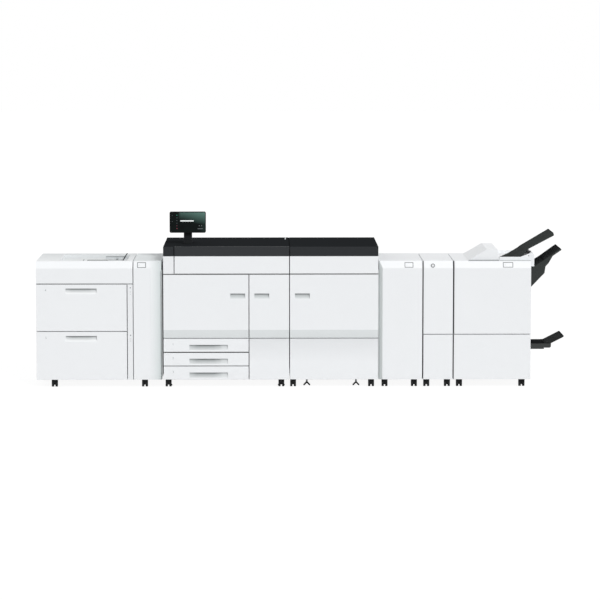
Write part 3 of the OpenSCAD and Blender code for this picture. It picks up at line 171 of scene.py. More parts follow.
def soften(node, width_mm, shortest_mm=30, round_left_mm=0, left_edges=()):
    """A copy of a CAD node as one clean mesh, with its long outer edges rolled.

    Front edges that run down at one of left_edges get the wider radius of a door's closing edge.
    Edges are chosen in edge mode, where dropping one doesn't drop its neighbours.
    """
    choose(frame["nodes"][node])
    bpy.ops.object.duplicate()
    obj = bpy.context.object
    obj.parent = None
    obj.matrix_world = Matrix.Identity(4)
    obj.name = node + "_shell"
    del obj["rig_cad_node"]
    bpy.ops.mesh.customdata_custom_splitnormals_clear()
    bpy.ops.object.mode_set(mode="EDIT")
    bpy.ops.mesh.select_mode(type="EDGE")
    bpy.ops.mesh.select_all(action="SELECT")
    bpy.ops.mesh.remove_doubles(threshold=weld_within)
    bpy.ops.mesh.dissolve_limited(angle_limit=flat_angle)
    bpy.ops.mesh.select_all(action="DESELECT")
    shape = bmesh.from_edit_mesh(obj.data)
    at_left = set()
    for edge in shape.edges:
        a, b = (v.co for v in edge.verts)
        upright = max(a.y, b.y) < front_y + panel_depth and abs(a.x - b.x) < upright_within
        leftmost = any(abs(a.x - x) < beside_within for x in left_edges)
        if upright and leftmost and edge.calc_face_angle(0) > corner_angle:
            edge.select = True
            at_left.update(edge.verts)
    if at_left:
        bmesh.update_edit_mesh(obj.data)
        bpy.ops.mesh.bevel(offset=round_left_mm * MM, segments=6, profile=0.5, clamp_overlap=False)
        bpy.ops.mesh.select_all(action="DESELECT")
        shape = bmesh.from_edit_mesh(obj.data)
    for edge in shape.edges:
        long_enough = edge.calc_length() > shortest_mm * MM
        sharp = len(edge.link_faces) == 2 and edge.calc_face_angle(0) > sharp_angle
        edge.select = long_enough and sharp and edge.is_convex
    shape.select_flush_mode()
    bmesh.update_edit_mesh(obj.data)
    bpy.ops.mesh.bevel(offset=width_mm * MM, segments=2, profile=0.5, clamp_overlap=False)
    bpy.ops.mesh.select_mode(type="VERT")
    bpy.ops.object.mode_set(mode="OBJECT")
    bpy.ops.object.shade_smooth_by_angle(angle=smooth_angle)
    flat = obj.modifiers.new("flat", "WEIGHTED_NORMAL")
    flat.weight = 100
    flat.keep_sharp = True
    bpy.ops.object.modifier_apply(modifier="flat")
    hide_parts(node)
    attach(obj, body_of_node[node])
    return obj


coat_gloss = 0.012
coat_grain_mm, coat_grain_depth_mm = 9, 0.05


def faded(name, light, dark, axis, light_at, dark_at):
    """A coat whose tone deepens from one place on an axis to another."""
    material, tree, shader, place = start_material(name)
    xyz = add(tree, "ShaderNodeSeparateXYZ", Vector=place)
    depth = add(tree, "ShaderNodeMapRange", Value=xyz.outputs[axis], _1=light_at, _2=dark_at)
    tone = add(tree, "ShaderNodeMix", {"data_type": "RGBA"}, Factor=depth.outputs["Result"])
    tone.inputs["A"].default_value = linear(light)
    tone.inputs["B"].default_value = linear(dark)
    tree.links.new(tone.outputs["Result"], shader.inputs["Base Color"])
    grain = add(tree, "ShaderNodeTexNoise", Vector=place, Scale=1 / (coat_grain_mm * MM), Detail=2.0)
    bump = add(tree, "ShaderNodeBump", Height=grain.outputs["Fac"], Distance=coat_grain_depth_mm * MM,
               Strength=1.0)
    tree.links.new(bump.outputs["Normal"], shader.inputs["Normal"])
    shader.inputs["Roughness"].default_value = 0.5
    shader.inputs["Specular IOR Level"].default_value = coat_gloss
    return material


pocket_rim, pocket_depth = 0.8 * MM, 15 * MM


def apply_pocket_shade(obj, node, material, margin_mm=30):
    """Gives the faces that are sunk into a panel's front the material of the pocket's painted shade."""
    low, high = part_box(node)
    obj.data.materials.append(material)
    for face in obj.data.polygons:
        xs = [obj.data.vertices[i].co.x for i in face.vertices]
        sunk = low.y + pocket_rim < face.center.y < low.y + pocket_depth
        if sunk and min(xs) > low.x + margin_mm * MM and max(xs) < high.x - margin_mm * MM:
            face.material_index = 1


pocket_half_width, dark_share, pale_share, end_darkness = 150 * MM, 0.45, 0.95, 0.35


def pocket_shade_paint(name, light, dark, top, fall_mm, mid_x):
    """Painted shade for a pocket: darkest in the middle, under the pocket's upper lip."""
    material = faded(name, light, dark, "Z", top - fall_mm * MM, top)
    tree = material.node_tree
    place = next(n for n in tree.nodes if n.type == "TEX_COORD").outputs["Object"]
    xyz = add(tree, "ShaderNodeSeparateXYZ", Vector=place)
    aside = add(tree, "ShaderNodeMath", {"operation": "SUBTRACT"}, _0=xyz.outputs["X"], _1=mid_x)
    far = add(tree, "ShaderNodeMath", {"operation": "ABSOLUTE"}, _0=aside.outputs["Value"])
    share = add(tree, "ShaderNodeMapRange", Value=far.outputs["Value"], _3=1.0, _4=end_darkness,
                _1=pocket_half_width * dark_share, _2=pocket_half_width * pale_share)
    mix = next(n for n in tree.nodes if n.type == "MIX")
    depth = mix.inputs["Factor"].links[0].from_socket
    both = add(tree, "ShaderNodeMath", {"operation": "MULTIPLY"}, _0=depth, _1=share.outputs["Result"])
    tree.links.new(both.outputs["Value"], mix.inputs["Factor"])
    return material


# The edges beside the seams between panels get painted shade, a grey that deepens to near black going back.
seam_shade_from, seam_shade_to = front_y - 0.4 * MM, front_y + 2.2 * MM
seam_shade_coat = faded("painted_shade_in_seams", "#a4a7a8", "#1e2022", "Y", seam_shade_from, seam_shade_to)
seam_xs = [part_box(node)[0].x for node in ("imaging_right_door", "fusing_top", "folder_door", "finisher_door")]
seam_zs = [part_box(node)[1].z for node in ("fusing_door", "upper_drawer", "tray_2")]
seam_reach_x, seam_reach_z, edge_depth = 9 * MM, 8 * MM, 30 * MM
beside_normal, level_normal = 0.75, 0.3


def paint_seam_shade(obj):
    """Gives the edge faces of a panel beside a seam painted shade, grey at the front and near black a few
    millimetres back.
    """
    obj.data.materials.append(seam_shade_coat)
    for face in obj.data.polygons:
        beside = any(abs(face.center.x - x) < seam_reach_x for x in seam_xs)
        level = any(abs(face.center.z - z) < seam_reach_z for z in seam_zs)
        turned_aside = abs(face.normal.x) > beside_normal
        turned_up = abs(face.normal.z) > level_normal
        ahead = front_y < face.center.y < front_y + edge_depth
        if ahead and (beside and turned_aside or level and turned_up):
            face.material_index = len(obj.data.materials) - 1


# Powder coat over moulded ABS: an even satin, with an orange peel too fine to show at its real
# 1 mm, drawn at 9 mm, and a slow drift of tone that large moulded panels have.
roll_mm = 1.6
coated_white = moulded("powder_coated_abs", "#eef0f2", 0.42, coat_grain_mm, coat_grain_depth_mm, 0.012)
folder_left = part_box("folder_door")[0].x
finisher_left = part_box("finisher_door")[0].x
for node, width_mm in (("finisher_hood", 0.8), ("tray_bay", roll_mm)):
    paint(soften(node, width_mm), coated_white)

# The decurling cabinet's door has a chamfered left side, which gets painted shade: a tone darker than its
# front, deepening towards the back.
decurler_door = soften("decurler_door", roll_mm)
paint(decurler_door, coated_white)
chamfer_depth = 26 * MM
chamfer_shade = faded("painted_shade_on_chamfer", "#e3e7e7", "#d8dddd", "Y", front_y, front_y + chamfer_depth)
decurler_door.data.materials.append(chamfer_shade)
for face in decurler_door.data.polygons:
    if -0.95 < face.normal.x < -0.3 and face.normal.y < 0:
        face.material_index = 1
paint_seam_shade(decurler_door)

# The feeder's top cover gets painted shade: its upper faces a tone greyer towards the rear, and the rear wall
# of its recess greyer, deepening to the right. Its guides' slots stay crisp: only edges longer than they are
# get rolled.
slot_length_mm = 150
shade_from_y, shade_to_y, recess_from_y = -390 * MM, 200 * MM, -300 * MM
shade_from_x, shade_to_x = -1900 * MM, -1400 * MM
cover = soften("feeder_top_cover", roll_mm, slot_length_mm)
paint(cover, coated_white)
cover.data.materials.append(faded("painted_shade_on_top", "#f0f2f3", "#dfe2e3", "Y", shade_from_y, shade_to_y))
cover.data.materials.append(faded("painted_shade_in_recess", "#dcdfe0", "#d3d6d7", "X", shade_from_x, shade_to_x))
for face in cover.data.polygons:
    if face.normal.z > 0.8:
        face.material_index = 1
    if face.normal.y < -0.9 and face.center.y > recess_from_y:
        face.material_index = 2

# The folder's and the finisher's doors are moulded with a wide round down their left edges, so that
# a hand can pull them open there.
for node, radius_mm, left in (("folder_door", 9, folder_left), ("finisher_door", 13, finisher_left)):
    door = soften(node, roll_mm, 30, radius_mm, (left,))
    paint(door, coated_white)
    paint_seam_shade(door)

# The transport door's coat gets painted shade, falling off to a greyer tone towards its right edge, by
# the engine.
door_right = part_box("feeder_door")[1].x
shade_width = 95 * MM
transport_door_shade = faded("painted_shade_on_transport_door", "#eef0f2", "#cdd4d4", "X", door_right - shade_width, door_right)
paint(soften("feeder_door", roll_mm), transport_door_shade)

# The panels that stay shut are coated as the doors are. Under the engine's slanted doors they get a painted
# shadow of the doors' feet, which clears towards the floor.
panels = soften("fixed_panels", roll_mm, 30, 9, (folder_left, finisher_left))
paint(panels, coated_white)
shadow_from_z, shadow_to_z, under_band = 200 * MM, 370 * MM, 600 * MM
shadow_under_doors = faded("painted_shadow_under_the_doors", "#eef0f2", "#e3e5e7", "Z", shadow_from_z, shadow_to_z)
panels.data.materials.append(shadow_under_doors)
for face in panels.data.polygons:
    if face.center.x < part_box("fusing_frame")[1].x and face.center.z < under_band:
        face.material_index = 1
paint_seam_shade(panels)

# The drawers and the trays have handle pockets moulded into their fronts, whose sunk faces get painted
# shade, darkest under the upper lip, in the middle.
pocket_share = 0.486
for node in ("upper_drawer", "lower_drawer", "tray_1", "tray_2", "tray_3"):
    large = "drawer" in node
    pale, deep, drop_mm, fall_mm = ("#f0f2f3", "#aeb2b3", 36, 36) if large else ("#e4e7e8", "#9da2a3", 52, 50)
    drawer_low, drawer_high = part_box(node)
    pocket_x = drawer_low.x + (drawer_high.x - drawer_low.x) * pocket_share
    drawer_pocket_shade = pocket_shade_paint("pocket_of_" + node, pale, deep, drawer_high.z - drop_mm * MM, fall_mm, pocket_x)
    drawer = soften(node, roll_mm)
    paint(drawer, coated_white)
    apply_pocket_shade(drawer, node, drawer_pocket_shade)
    if node in ("upper_drawer", "tray_2"):
        paint_seam_shade(drawer)

# The black tops and the top of the toner cover are a fine-textured black ABS, with a band of the
# same white coat under it on the cover. They are lids that drop over the cabinets' frames.
engine_black = moulded("textured_black_abs", "#26282a", 0.6, 7, 0.12, 0.04, 0.0)
# The black tops' front faces get a lighter copy of the same black ABS: painted light.
lit_front_black = moulded("painted_light_on_front_of_black_abs", "#343638", 0.6, 7, 0.12, 0.04, 0.0)
for node in ("imaging_top", "fusing_top"):
    top = soften(node, 2.0)
    paint(top, engine_black)
    top.data.materials.append(lit_front_black)
    for face in top.data.polygons:
        if face.normal.y < -0.6:
            face.material_index = 1
black_from_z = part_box("imaging_top")[0].z


two_tone_grain_mm, two_tone_grain_depth_mm = 8, 0.06


def two_tone_and_shade(name, lower, upper, height):
    """The lower and the upper colour of a panel at a height: two-tone paint, and painted shade on a lower band.
    """
    material, tree, shader, place = start_material(name)
    xyz = add(tree, "ShaderNodeSeparateXYZ", Vector=place)
    above = add(tree, "ShaderNodeMath", {"operation": "GREATER_THAN"}, _0=xyz.outputs["Z"], _1=height)
    shader.inputs["Specular IOR Level"].default_value = coat_gloss
    slow = add(tree, "ShaderNodeTexNoise", Vector=place, Scale=1 / drift_size, Detail=3.0)
    soft = add(tree, "ShaderNodeMapRange", Value=slow.outputs["Fac"], _3=0.98, _4=1.01)
    tone = add(tree, "ShaderNodeMix", {"data_type": "RGBA"}, Factor=above.outputs["Value"])
    tone.inputs["A"].default_value = linear(lower)
    tone.inputs["B"].default_value = linear(upper)
    drift = add(tree, "ShaderNodeVectorMath", {"operation": "SCALE"}, _0=tone.outputs["Result"],
                Scale=soft.outputs["Result"])
    tree.links.new(drift.outputs["Vector"], shader.inputs["Base Color"])
    grain = add(tree, "ShaderNodeTexNoise", Vector=place, Scale=1 / (two_tone_grain_mm * MM), Detail=2.0)
    bump = add(tree, "ShaderNodeBump", Height=grain.outputs["Fac"],
               Distance=two_tone_grain_depth_mm * MM, Strength=1.0)
    tree.links.new(bump.outputs["Normal"], shader.inputs["Normal"])
    shader.inputs["Roughness"].default_value = 0.45
    return material


toner_cover = soften("toner_cover", roll_mm)
paint(toner_cover, two_tone_and_shade("two_tone_cover_coat", "#eef0f2", "#3a3c3e", black_from_z))
paint_seam_shade(toner_cover)

# The engine's three doors have a small handle pocket each, lined with painted shade that deepens towards
# the pocket's top, and feet that slant back and face down, which get painted shade, a slightly darker tone than
# the rest.
door_low_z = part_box("fusing_door")[0].z
slant_height, pocket_drop, pocket_fall = 65 * MM, 154 * MM, 40 * MM
pocket_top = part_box("fusing_door")[1].z - pocket_drop
engine_door_pocket_shade = faded("pocket_of_engine_doors", "#dee2e3", "#b3b7b8", "Z", pocket_top - pocket_fall, pocket_top)
door_coat_with_shaded_foot = two_tone_and_shade("door_coat_with_painted_shade_on_foot", "#dde1e2", "#eef0f2", door_low_z + slant_height)
for node in ("imaging_left_door", "imaging_right_door", "fusing_door"):
    door = soften(node, roll_mm)
    paint(door, door_coat_with_shaded_foot)
    apply_pocket_shade(door, node, engine_door_pocket_shade, 20)
    paint_seam_shade(door)


# The cabinets' frames are folded sheet steel with a light grey powder coat. They show at the
# sides, at the back, under the line and inside the doors.
coated_steel = moulded("powder_coated_steel", "#ebedef", 0.5, 6, 0.08, 0.012)
top_shade_fade = 12 * MM
for node in ("imaging_frame", "fusing_frame", "decurler_cabinet", "folder_cabinet", "finisher_cabinet"):
    paint(frame["nodes"][node], coated_steel)
# The feeder frame's coat darkens over its top 12 mm: painted shade cast by the taller engine beside it.
top_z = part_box("feeder_frame")[1].z
feeder_frame_shade = faded("painted_shade_on_feeder_frame_top", "#ebedef", "#e6eaeb", "Z", top_z - top_shade_fade, top_z - 1 * MM)
paint(frame["nodes"]["feeder_frame"], feeder_frame_shade)


# The rear panels are held by flanged screws of zinc-plated steel, each with a raised head and a round
# recess. One is made, and copied in rows over every rear panel.
def metal(name, colour, roughness, brush_mm=None):
    """A bare or plated metal, brushed along Y where a brush width is given."""
    material, tree, shader, place = start_material(name)
    shader.inputs["Metallic"].default_value = 1.0
    stretch = add(tree, "ShaderNodeMapping", Vector=place, Scale=(1, 0.02, 1) if brush_mm else (1, 1, 1))
    grain = add(tree, "ShaderNodeTexNoise", Vector=stretch.outputs["Vector"],
                Scale=1 / ((brush_mm or 4) * MM), Detail=3.0)
    gloss = add(tree, "ShaderNodeMapRange", Value=grain.outputs["Fac"],
                _3=roughness - 0.08, _4=roughness + 0.1)
    tree.links.new(gloss.outputs["Result"], shader.inputs["Roughness"])
    tone = add(tree, "ShaderNodeMix", {"data_type": "RGBA"}, Factor=grain.outputs["Fac"])
    tone.inputs["A"].default_value = linear(colour)
    tone.inputs["B"].default_value = tuple(c * 0.82 for c in linear(colour)[:3]) + (1,)
    tree.links.new(tone.outputs["Result"], shader.inputs["Base Color"])
    return material


def settle(obj):
    """Moves a finished piece's place into its mesh, so its object is at the origin."""
    choose(obj)
    bpy.ops.object.transform_apply(location=True, rotation=True, scale=True)


def fit(obj, name, material, body):
    """Names and paints a new piece, and says which body it rides on."""
    obj.name = name
    paint(obj, material)
    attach(obj, body)


def join_all(pieces):
    """Joins like pieces to one object, and returns it."""
    bpy.ops.object.select_all(action="DESELECT")
    for piece in pieces:
        piece.select_set(True)
    bpy.context.view_layer.objects.active = pieces[0]
    bpy.ops.object.join()
    return bpy.context.object


zinc = metal("zinc_plated_steel", "#c9ccce", 0.35)
screw_r, screw_h, screw_margin, screw_rows = 5 * MM, 2.4 * MM, 22 * MM, 4
flange_width, head_rise, rim_width, recess_sink = 1.6 * MM, 0.8 * MM, 1.4 * MM, 1.2 * MM
bpy.ops.mesh.primitive_cylinder_add(vertices=20, radius=screw_r, depth=screw_h)
screw = bpy.context.object
bpy.ops.object.mode_set(mode="EDIT")
bpy.ops.mesh.select_all(action="DESELECT")
head = bmesh.from_edit_mesh(screw.data)
for face in head.faces:
    face.select = face.normal.z > 0.9
bmesh.update_edit_mesh(screw.data)
bpy.ops.mesh.inset(thickness=flange_width)
bpy.ops.transform.translate(value=(0, 0, head_rise))
bpy.ops.mesh.inset(thickness=rim_width)
bpy.ops.transform.translate(value=(0, 0, -recess_sink))
bpy.ops.object.mode_set(mode="OBJECT")
rear_panels = [("feeder_frame", 3), ("imaging_frame", 3), ("fusing_frame", 3), ("decurler_cabinet", 2),
               ("folder_cabinet", 2), ("finisher_cabinet", 3)]
copies = []
for node, columns in rear_panels:
    low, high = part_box(node)
    for i in range(columns):
        for j in range(screw_rows):
            x = low.x + screw_margin + (high.x - low.x - 2 * screw_margin) * i / (columns - 1)
            z = low.z + screw_margin + (high.z - low.z - 2 * screw_margin) * j / (screw_rows - 1)
            choose(screw)
            bpy.ops.object.duplicate()
            copy = bpy.context.object
            copy.rotation_euler = (-math.pi / 2, 0, 0)
            copy.location = (min(x, high.x - 2 * screw_margin), high.y, z)
            settle(copy)
            copies.append(copy)
bpy.data.objects.remove(screw)
fit(join_all(copies), "rear_panel_screws", zinc, "frame")


# Drawers and trays carry plain numbers, printed in grey on their fronts, and the strip beside the
# large drawers has a lamp over each one. The prints are thin, so they are raised by a hair.
print_grey = moulded("grey_pad_print", "#a4a9ab", 0.5, 5, 0.01)
outline_grey = moulded("dark_pad_print", "#4c5053", 0.5, 5, 0.01)
faint_grey = moulded("faint_pad_print", "#ccd0d2", 0.5, 5, 0.01)
lamp_lens = moulded("smoked_lamp_lens", "#8b9194", 0.2, 5, 0.01)
skin = 0.25 * MM
numeral_size = 24 * MM


def numeral(text, x, y, z, body):
    """A printed number on a drawer's front, as a thin mesh."""
    bpy.ops.object.text_add(location=(x, y - skin, z), rotation=(math.pi / 2, 0, 0))
    obj = bpy.context.object
    obj.data.body = text
    obj.data.size = numeral_size
    obj.data.extrude = skin / 2
    obj.data.align_x = "CENTER"
    obj.data.align_y = "CENTER"
    bpy.ops.object.convert(target="MESH")
    settle(obj)
    fit(obj, "numeral_" + text, print_grey, body)


numbered = (("1", "tray_1", 75, 44), ("2", "tray_2", 75, 44), ("3", "tray_3", 75, 44),
            ("4", "upper_drawer", 76, 47), ("5", "lower_drawer", 76, 47))
for text, node, left_mm, down_mm in numbered:
    low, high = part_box(node)
    numeral(text, low.x + left_mm * MM, low.y, high.z - down_mm * MM, node)


def roll_edges(obj, width_mm, segments=2):
    """Rolls all of a small piece's edges."""
    choose(obj)
    roll = obj.modifiers.new("roll", "BEVEL")
    roll.width = width_mm * MM
    roll.segments = segments
    bpy.ops.object.modifier_apply(modifier="roll")


strip_x = (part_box("upper_drawer")[1].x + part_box("feeder_door")[0].x) / 2
lamp_drop, lamp_r, lamp_h = 27 * MM, 5 * MM, 2 * MM
mark_drop, mark_step, mark_size = 28 * MM, 12 * MM, (9 * MM, skin, 2.2 * MM)
for name in ("upper", "lower"):
    lamp_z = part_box(name + "_drawer")[1].z - lamp_drop
    bpy.ops.mesh.primitive_cylinder_add(vertices=24, radius=lamp_r, depth=lamp_h,
                                        location=(strip_x, front_y, lamp_z), rotation=(math.pi / 2, 0, 0))
    lamp = bpy.context.object
    roll_edges(lamp, 0.6, 1)
    settle(lamp)
    fit(lamp, name + "_drawer_lamp", lamp_lens, "frame")
    for k in range(3):
        bpy.ops.mesh.primitive_cube_add(
            size=1, location=(strip_x, front_y - skin / 2, lamp_z - mark_drop - mark_step * k))
        mark = bpy.context.object
        mark.scale = mark_size
        settle(mark)
        fit(mark, f"{name}_strip_mark_{k + 1}", print_grey, "frame")


# Three cabinets carry a bare framed label on the bevel of their doors: a thin printed line round
# an empty field, with a small round symbol at its left.
bevel_height, bevel_run = 56 * MM, 24 * MM
bevel_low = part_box("decurler_door")[1].z - bevel_height
bevel_tilt = math.atan(bevel_run / bevel_height)
label_line, symbol_r, symbol_line, symbol_share = 4.4 * MM, 5 * MM, 0.7 * MM, 0.27


def on_bevel(z):
    """How far back the bevel's surface lies at a height."""
    return front_y + max(0, z - bevel_low) * math.tan(bevel_tilt)


def label_frame(name, x, z, width_mm, height_mm, body):
    """A thin printed frame on the bevel of a door, with its round symbol."""
    bpy.ops.mesh.primitive_plane_add(size=1, location=(0, 0, 0))
    obj = bpy.context.object
    obj.scale = (width_mm * MM, height_mm * MM, 1)
    settle(obj)
    bpy.ops.object.mode_set(mode="EDIT")
    bpy.ops.mesh.select_all(action="SELECT")
    bpy.ops.mesh.inset(thickness=label_line)
    bpy.ops.mesh.delete(type="FACE")
    bpy.ops.object.mode_set(mode="OBJECT")
    thick = obj.modifiers.new("thick", "SOLIDIFY")
    thick.thickness = skin * 2
    bpy.ops.object.modifier_apply(modifier="thick")
    obj.rotation_euler = (math.pi / 2 - bevel_tilt, 0, 0)
    obj.location = (x, on_bevel(z) - skin, z)
    settle(obj)
    fit(obj, name, outline_grey, body)
    bpy.ops.mesh.primitive_torus_add(major_radius=symbol_r, minor_radius=symbol_line,
                                     major_segments=24, minor_segments=6)
    ring = bpy.context.object
    ring.rotation_euler = (math.pi / 2 - bevel_tilt, 0, 0)
    ring.location = (x - width_mm * symbol_share * MM, on_bevel(z), z)
    settle(ring)
    fit(ring, name + "_symbol", faint_grey, body)


labelled = (("feeder", 832, 970.5, 68, 45), ("decurler", 2938.5, 969.5, 68, 43),
            ("finisher", 3720, 969.5, 80, 43))
for cabinet, along_mm, up_mm, width_mm, height_mm in labelled:
    label_x = line_left + along_mm * MM
    label_frame(cabinet + "_label", label_x, up_mm * MM, width_mm, height_mm, cabinet + "_door")


# The console is a thin black slab with a glass front. The screen shows a dark plain page with a
# green glow at its upper right, a column of round signs, a blank bar and a blank button.
console_black = moulded("gloss_black_abs", "#101112", 0.35, 6, 0.03, 0.03, 0.1)
shortest_mm = 20
for node in ("console_post", "console_neck"):
    matt_black = moulded("matt_black_abs_" + node, "#202224", 0.55, 5, 0.08, 0.03, 0.1)
    paint(soften(node, 2.5, shortest_mm), matt_black)
paint(soften("console_housing", 1.2, shortest_mm), console_black)
low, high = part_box("console_screen")
signs_end, page_start, glow_start, glow_beyond = 62 * MM, 85 * MM, 100 * MM, 30 * MM
glow_drop, haze_size = 95 * MM, 60 * MM
glass, tree, shader, place = start_material("screen_glass")
xyz = add(tree, "ShaderNodeSeparateXYZ", Vector=place)
past_column = add(tree, "ShaderNodeMapRange", Value=xyz.outputs["X"],
                  _1=low.x + signs_end, _2=low.x + page_start)
across = add(tree, "ShaderNodeMapRange", Value=xyz.outputs["X"],
             _1=low.x + glow_start, _2=high.x + glow_beyond)
up = add(tree, "ShaderNodeMapRange", Value=xyz.outputs["Z"], _1=high.z - glow_drop, _2=high.z)
slope = add(tree, "ShaderNodeMath", {"operation": "MULTIPLY_ADD"}, _0=across.outputs["Result"], _1=0.55)
tree.links.new(up.outputs["Result"], slope.inputs[2])
lean = add(tree, "ShaderNodeMapRange", Value=slope.outputs["Value"], _1=0.35, _2=1.5)
steep = add(tree, "ShaderNodeMath", {"operation": "MULTIPLY"}, _0=lean.outputs["Result"],
            _1=past_column.outputs["Result"])
haze = add(tree, "ShaderNodeTexNoise", Vector=place, Scale=1 / haze_size, Detail=1.0)
veil = add(tree, "ShaderNodeMath", {"operation": "MULTIPLY_ADD"}, _0=haze.outputs["Fac"], _1=0.04)
tree.links.new(steep.outputs["Value"], veil.inputs[2])
page = add(tree, "ShaderNodeMix", {"data_type": "RGBA"}, Factor=veil.outputs["Value"])
page.inputs["A"].default_value = linear("#090a0b")
page.inputs["B"].default_value = linear("#56756d")
tree.links.new(page.outputs["Result"], shader.inputs["Base Color"])
tree.links.new(page.outputs["Result"], shader.inputs["Emission Color"])
shader.inputs["Emission Strength"].default_value = 0.2
shader.inputs["Roughness"].default_value = 0.12
shader.inputs["Specular IOR Level"].default_value = 0.08
paint(frame["nodes"]["console_screen"], glass)


def glowing(name, colour, strength):
    """A lit spot on the screen, with a faint unevenness of its backlight."""
    material, tree, shader, place = start_material(name)
    speckle = add(tree, "ShaderNodeTexNoise", Vector=place, Scale=300.0)
    tone = add(tree, "ShaderNodeMix", {"data_type": "RGBA"}, Factor=speckle.outputs["Fac"])
    tone.inputs["A"].default_value = linear(colour)
    tone.inputs["B"].default_value = tuple(c * 0.8 for c in linear(colour)[:3]) + (1,)
    tree.links.new(tone.outputs["Result"], shader.inputs["Base Color"])
    tree.links.new(tone.outputs["Result"], shader.inputs["Emission Color"])
    shader.inputs["Emission Strength"].default_value = strength
    shader.inputs["Roughness"].default_value = 0.3
    return material


def screen_patch(name, share_x, share_z, width_mm, height_mm, material):
    """A flat patch with round ends on the screen, placed by shares of its width and height."""
    x = low.x + (high.x - low.x) * share_x
    z = low.z + (high.z - low.z) * share_z
    bpy.ops.mesh.primitive_plane_add(size=1, rotation=(math.pi / 2, 0, 0), location=(x, low.y - skin, z))
    obj = bpy.context.object
    obj.scale = (width_mm * MM, height_mm * MM, 1)
    settle(obj)
    bpy.ops.object.mode_set(mode="EDIT")
    bpy.ops.mesh.select_all(action="SELECT")
    bpy.ops.mesh.bevel(offset=min(width_mm, height_mm) * 0.49 * MM, segments=5, affect="VERTICES",
                       clamp_overlap=False)
    bpy.ops.object.mode_set(mode="OBJECT")
    fit(obj, name, material, "console")


sign_colours = ("#237a62", "#3c4244", "#3c4244", "#3c4244", "#5c2f3c", "#7c3340")
sign_x, sign_top, sign_step, sign_mm = 0.19, 0.86, 0.135, 7
for k, colour in enumerate(sign_colours):
    lit = glowing(f"screen_sign_{k + 1}", colour, 0.5)
    screen_patch(f"screen_sign_{k + 1}", sign_x, sign_top - sign_step * k, sign_mm, sign_mm, lit)
screen_patch("screen_bar", 0.48, 0.57, 108, 9, glowing("screen_bar_light", "#d8dddc", 0.7))
screen_patch("screen_button", 0.86, 0.17, 44, 7, glowing("screen_button_light", "#4c5254", 0.5))
dot_x, dot_step, dot_z, key_x, key_top, key_step, dot_mm = 0.83, 0.07, 0.32, 0.055, 0.84, 0.3, 5
for k in range(2):
    lit = glowing(f"screen_dot_light_{k + 1}", "#8a9092", 0.5)
    screen_patch(f"screen_dot_{k + 1}", dot_x + dot_step * k, dot_z, dot_mm, dot_mm, lit)
    lit = glowing(f"bezel_key_light_{k + 1}", "#565c5e", 0.4)
    screen_patch(f"bezel_key_{k + 1}", key_x, key_top - key_step * k, dot_mm, dot_mm, lit)


# Inside the engine: coated drums, the dark polyimide belt on bare steel rollers, four toner
# bottles, and the fuser's two rolls. The rollers of the decurler, the folder and the finisher are of
# the same ground steel and black rubber. All show when the doors are open.
drum_coat = metal("coated_drum_aluminium", "#4e8f93", 0.22)
steel = metal("ground_steel", "#b9bcbe", 0.28, 1.5)
rubber = moulded("black_rubber", "#2a2b2d", 0.75, 4, 0.1, 0.06)
fuser_rubber = moulded("fuser_silicone_sleeve", "#7c3a2c", 0.4, 6, 0.03, 0.05)
belt_film = moulded("polyimide_belt", "#3a2c26", 0.3, 10, 0.02, 0.04)
bottle = moulded("toner_bottle_pe", "#33363a", 0.5, 5, 0.08, 0.05)
for k in range(1, 5):
    paint(frame["nodes"][f"drum_{k}"], drum_coat)
for node in ("belt_drive_roller", "belt_idle_roller", "decurl_roller_upper", "exit_roller"):
    paint(frame["nodes"][node], steel)
for node in ("decurl_roller_lower", "fold_roller_upper", "fold_roller_lower", "pressure_roll"):
    paint(frame["nodes"][node], rubber)
paint(frame["nodes"]["heat_roll"], fuser_rubber)
paint(frame["nodes"]["transfer_belt"], belt_film)
paint(frame["nodes"]["toner_cartridges"], bottle)
toner_low, toner_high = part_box("toner_cartridges")
toner_r = (toner_high.z - toner_low.z) / 2
pitch_x = (toner_high.x - toner_low.x - 2 * toner_r) / 3
cap_colours = (("yellow", "#e3b419"), ("magenta", "#b52a63"), ("cyan", "#1e86b4"), ("black", "#1d1e20"))
cap_share, cap_depth, cap_rim, cap_sink = 0.86, 10 * MM, 7 * MM, 3 * MM
for k, (name, colour) in enumerate(cap_colours):
    cap_place = (toner_low.x + toner_r + pitch_x * k, toner_low.y - cap_depth / 2, toner_low.z + toner_r)
    bpy.ops.mesh.primitive_cylinder_add(vertices=48, radius=toner_r * cap_share, depth=cap_depth,
                                        location=cap_place, rotation=(math.pi / 2, 0, 0))
    cap = bpy.context.object
    bpy.ops.object.mode_set(mode="EDIT")
    bpy.ops.mesh.select_all(action="DESELECT")
    shape = bmesh.from_edit_mesh(cap.data)
    for face in shape.faces:
        face.select = face.normal.z > 0.9
    bmesh.update_edit_mesh(cap.data)
    bpy.ops.mesh.inset(thickness=cap_rim)
    bpy.ops.transform.translate(value=(0, cap_sink, 0))
    bpy.ops.object.mode_set(mode="OBJECT")
    settle(cap)
    bpy.ops.object.shade_smooth_by_angle(angle=math.radians(35))
    cap_name = f"toner_cap_{name}"
    fit(cap, cap_name, moulded(cap_name, colour, 0.4, 5, 0.03, 0.05), "frame")


# The bypass on the feeder: two sliding guides of pale grey ABS in the recess, with dark strips along their
# upper edges, strips of painted shade and painted shadow on the top, and the lift plates and feed heads that
# show when the drawers are pulled out.
guide_grey = moulded("grey_abs_guides", "#c3c7c9", 0.45, 5, 0.05, 0.03, 0.02)
for node in ("bypass_guide_front", "bypass_guide_rear"):
    paint(frame["nodes"][node], guide_grey)
dark_strip_and_slot_shade = moulded("dark_strips_and_painted_slot_shade", "#3c4042", 0.9, 4, 0.1, 0.05, 0.0)


def slab(name, low, high, material, body, round_mm=0.6):
    """A plain block between two corners, with its edges rolled."""
    bpy.ops.mesh.primitive_cube_add(size=1, location=[(a + b) / 2 for a, b in zip(low, high)])
    obj = bpy.context.object
    obj.scale = [b - a for a, b in zip(low, high)]
    settle(obj)
    roll_edges(obj, round_mm)
    fit(obj, name, material, body)


